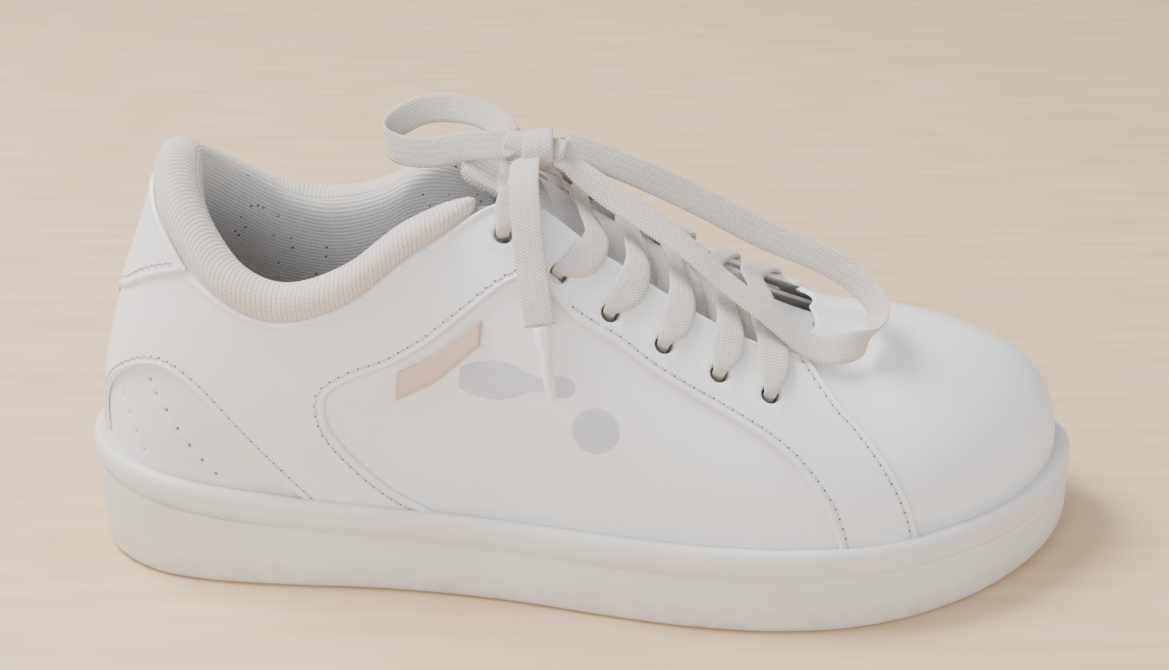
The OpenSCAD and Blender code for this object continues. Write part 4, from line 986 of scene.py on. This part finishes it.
def last_leg(side):
    """Under the leather from the second hole on one side, up out of the top hole on the other."""
    (u, v), (s, t), low, w = HOLES[0], HOLES[1], -1.2 if side < 0 else 0.6, LACE_W * 0.55
    return rows_on(side, [s, t + 0.01, LACE_UNDER + 0.45, SLIM], [s, t + 0.08, LACE_UNDER, SLIM + 1.5],
                   [s - 0.05, 0.9, LACE_UNDER, w], [s - 0.1, 1.3, low, w], [(s + u) / 2, 2, low + 0.1, w]) \
        + rows_on(-side, [u + 0.15, 1.3, low, w], [u + 0.1, 1, -0.9, w], [u + 0.03, 0.93, LACE_UNDER, w],
                  [u, v + 0.06, LACE_UNDER, SLIM + 1.5], [u, v + 0.01, LACE_UNDER + 0.45, SLIM], [u, v, 2.4, SLIM],
                  [u, v + 0.01, OUTER_O + 0.75, SLIM + 0.4], [u + 0.03, v + 0.07, LACE_OVER, LACE_W * 0.8],
                  [u + 0.05, 0.97, LACE_OVER + 0.2, LACE_W * 0.7])


def run_up(side, rise):
    rows = []
    for i in (5, 4, 3, 2):
        rows += crossing(side if i % 2 else -side, i, rise)
    return rows + last_leg(side)


def threaded_lace():
    """The lace from its bar over the front pair of holes, up both sides to the knot."""
    s, t = HOLES[5]
    bar = [[s, t - 0.01, -0.7, SLIM], [s, t, 2.4, SLIM], [s, t + 0.01, OUTER_O + 0.75, SLIM + 0.4],
           [s + 0.05, 0.70, LACE_OVER, LACE_W], [s + 0.1, 0.81, LACE_OVER, LACE_W],
           [s + 0.14, 1.3, LACE_OVER - 0.8, LACE_W * 0.85], [s + 0.14, 2, LACE_OVER - 1.4, LACE_W * 0.85]]
    rows = run_up(LAT, 2)[::-1] + rows_on(LAT, *bar) + rows_on(MED, *bar[-2::-1]) + run_up(MED, 0.3)
    points, across = [], []
    for side, s, t, o, _ in rows:
        s, t = arr([s]), arr([t])
        points.append(on_skin(side, s, t, o)[0])
        across.append(unit(skin(side, s + 0.05, t) - skin(side, s - 0.05, t))[0])
    ribbon("lace_threaded_braid", points, across, [row[4] for row in rows], LACE_T * 1.15, fine=6,
           node="lace_threaded")


def mark():
    """A plain emblem on the outer side: a bowling pin lying beside a ball."""
    middle = arr([[-7.35, 0.36]])
    du, _, n = frame_at(LAT, *middle.T)
    ex = unit(-du)
    ey = unit(np.cross(n, ex))

    def put(shape):
        """Walks from the middle of the emblem out to each point, a little at a time, to stay on the surface."""
        where = np.repeat(middle, len(shape), 0)
        for _ in range(12):
            along, up, _ = frame_at(LAT, *where.T)
            where = where + solve(along, up, (shape[:, :1] * ex + shape[:, 1:] * ey) / 12)
        return where

    half = [[0, 2.7], [1.2, 3.6], [5, 4.8], [9.5, 5.6], [14, 5.0], [18.5, 3.0], [22, 2.1], [25, 2.5], [28, 3.1],
            [30.5, 2.5], [32, 0.9]]
    pin = arr(half + [[x, -y] for x, y in half[::-1]] + [half[0]])
    turn = math.radians(14)
    spin = arr([[math.cos(turn), math.sin(turn)], [-math.sin(turn), math.cos(turn)]])
    pin = smooth_line(pin - [16, 0], 160) @ spin + [-9, 1]
    ring = arr([[math.cos(a), math.sin(a)] for a in np.linspace(0, 2 * math.pi, 61)]) * 6.5 + [15.5, -4.5]
    for tag, shape in (("pin", pin), ("ball", ring)):
        panel("mark_%s_lateral" % tag, LAT, [(put(shape), True)], BASE_O + LEATHER_T, 0.14, MARK, radius=0.3)


for side, word in SIDES:
    side_panel(side, word)
    overlay(side, word)
mark()
heel()
toe_vamp()
collar()
tongue()
side_tab()
sole()
insole()
threaded_lace()

# --- CAD nodes that stay as they are ---
KEPT = ((SUEDE, "slide_pad"), (DARK_RUBBER, "heel_pad"), (FOAM, "midsole_wedge"), (BOARD, "lasting_board"),
        (CUT_EDGE, "toe_puff", "heel_stiffener", "eyelet_stay_lateral", "eyelet_stay_medial"),
        (LINING_CLOTH, "vamp_lining", "quarter_lining_lateral", "quarter_lining_medial"))
for material, *names in KEPT:
    for name in names:
        slots = bpy.data.objects[name].data.materials
        slots.clear()
        slots.append(material)


# --- Floor and light ---
def floor():
    mesh = bpy.data.meshes.new("floor")
    mesh.from_pydata([(-3, -3, 0), (3, -3, 0), (3, 3, 0), (-3, 3, 0)], [], [(0, 1, 2, 3)])
    look = Look("floor", rough=0.55)
    grain = look.noise(7, 4, look.stretched(0.12, 1, 1))
    look.colour(look.mix(look.step(grain, 0.3, 0.75), (0.74, 0.545, 0.345), (0.67, 0.47, 0.28)))
    mesh.materials.append(look.material)
    add("floor", mesh)


def light(name, at, size, power, tint):
    """A rectangular lamp that looks at the middle of the shoe."""
    data = bpy.data.lights.new(name, "AREA")
    data.shape = "RECTANGLE"
    data.size, data.size_y = size
    data.energy = power
    data.color = tint
    z = unit(arr(at) - AIM)
    x = unit(np.cross([0, 0, 1], z))
    pose(add(name, data), x, np.cross(z, x), z, at)


floor()
AIM = arr([0, 0, 0.05])
light("key", (-0.7, 0.15, 1.2), (0.7, 0.5), 36, (1.0, 0.975, 0.94))
light("front", (-0.4, -1.3, 0.7), (1.4, 0.8), 15, (0.95, 0.97, 1.0))
light("right", (1.3, -0.2, 0.8), (0.8, 0.8), 7, (0.88, 0.94, 1.0))
world = bpy.data.worlds.new("studio")
world.use_nodes = True
sky = world.node_tree.nodes["Background"].inputs
sky[0].default_value = (0.93, 0.95, 1.0, 1)
sky[1].default_value = 0.55
bpy.context.scene.world = world
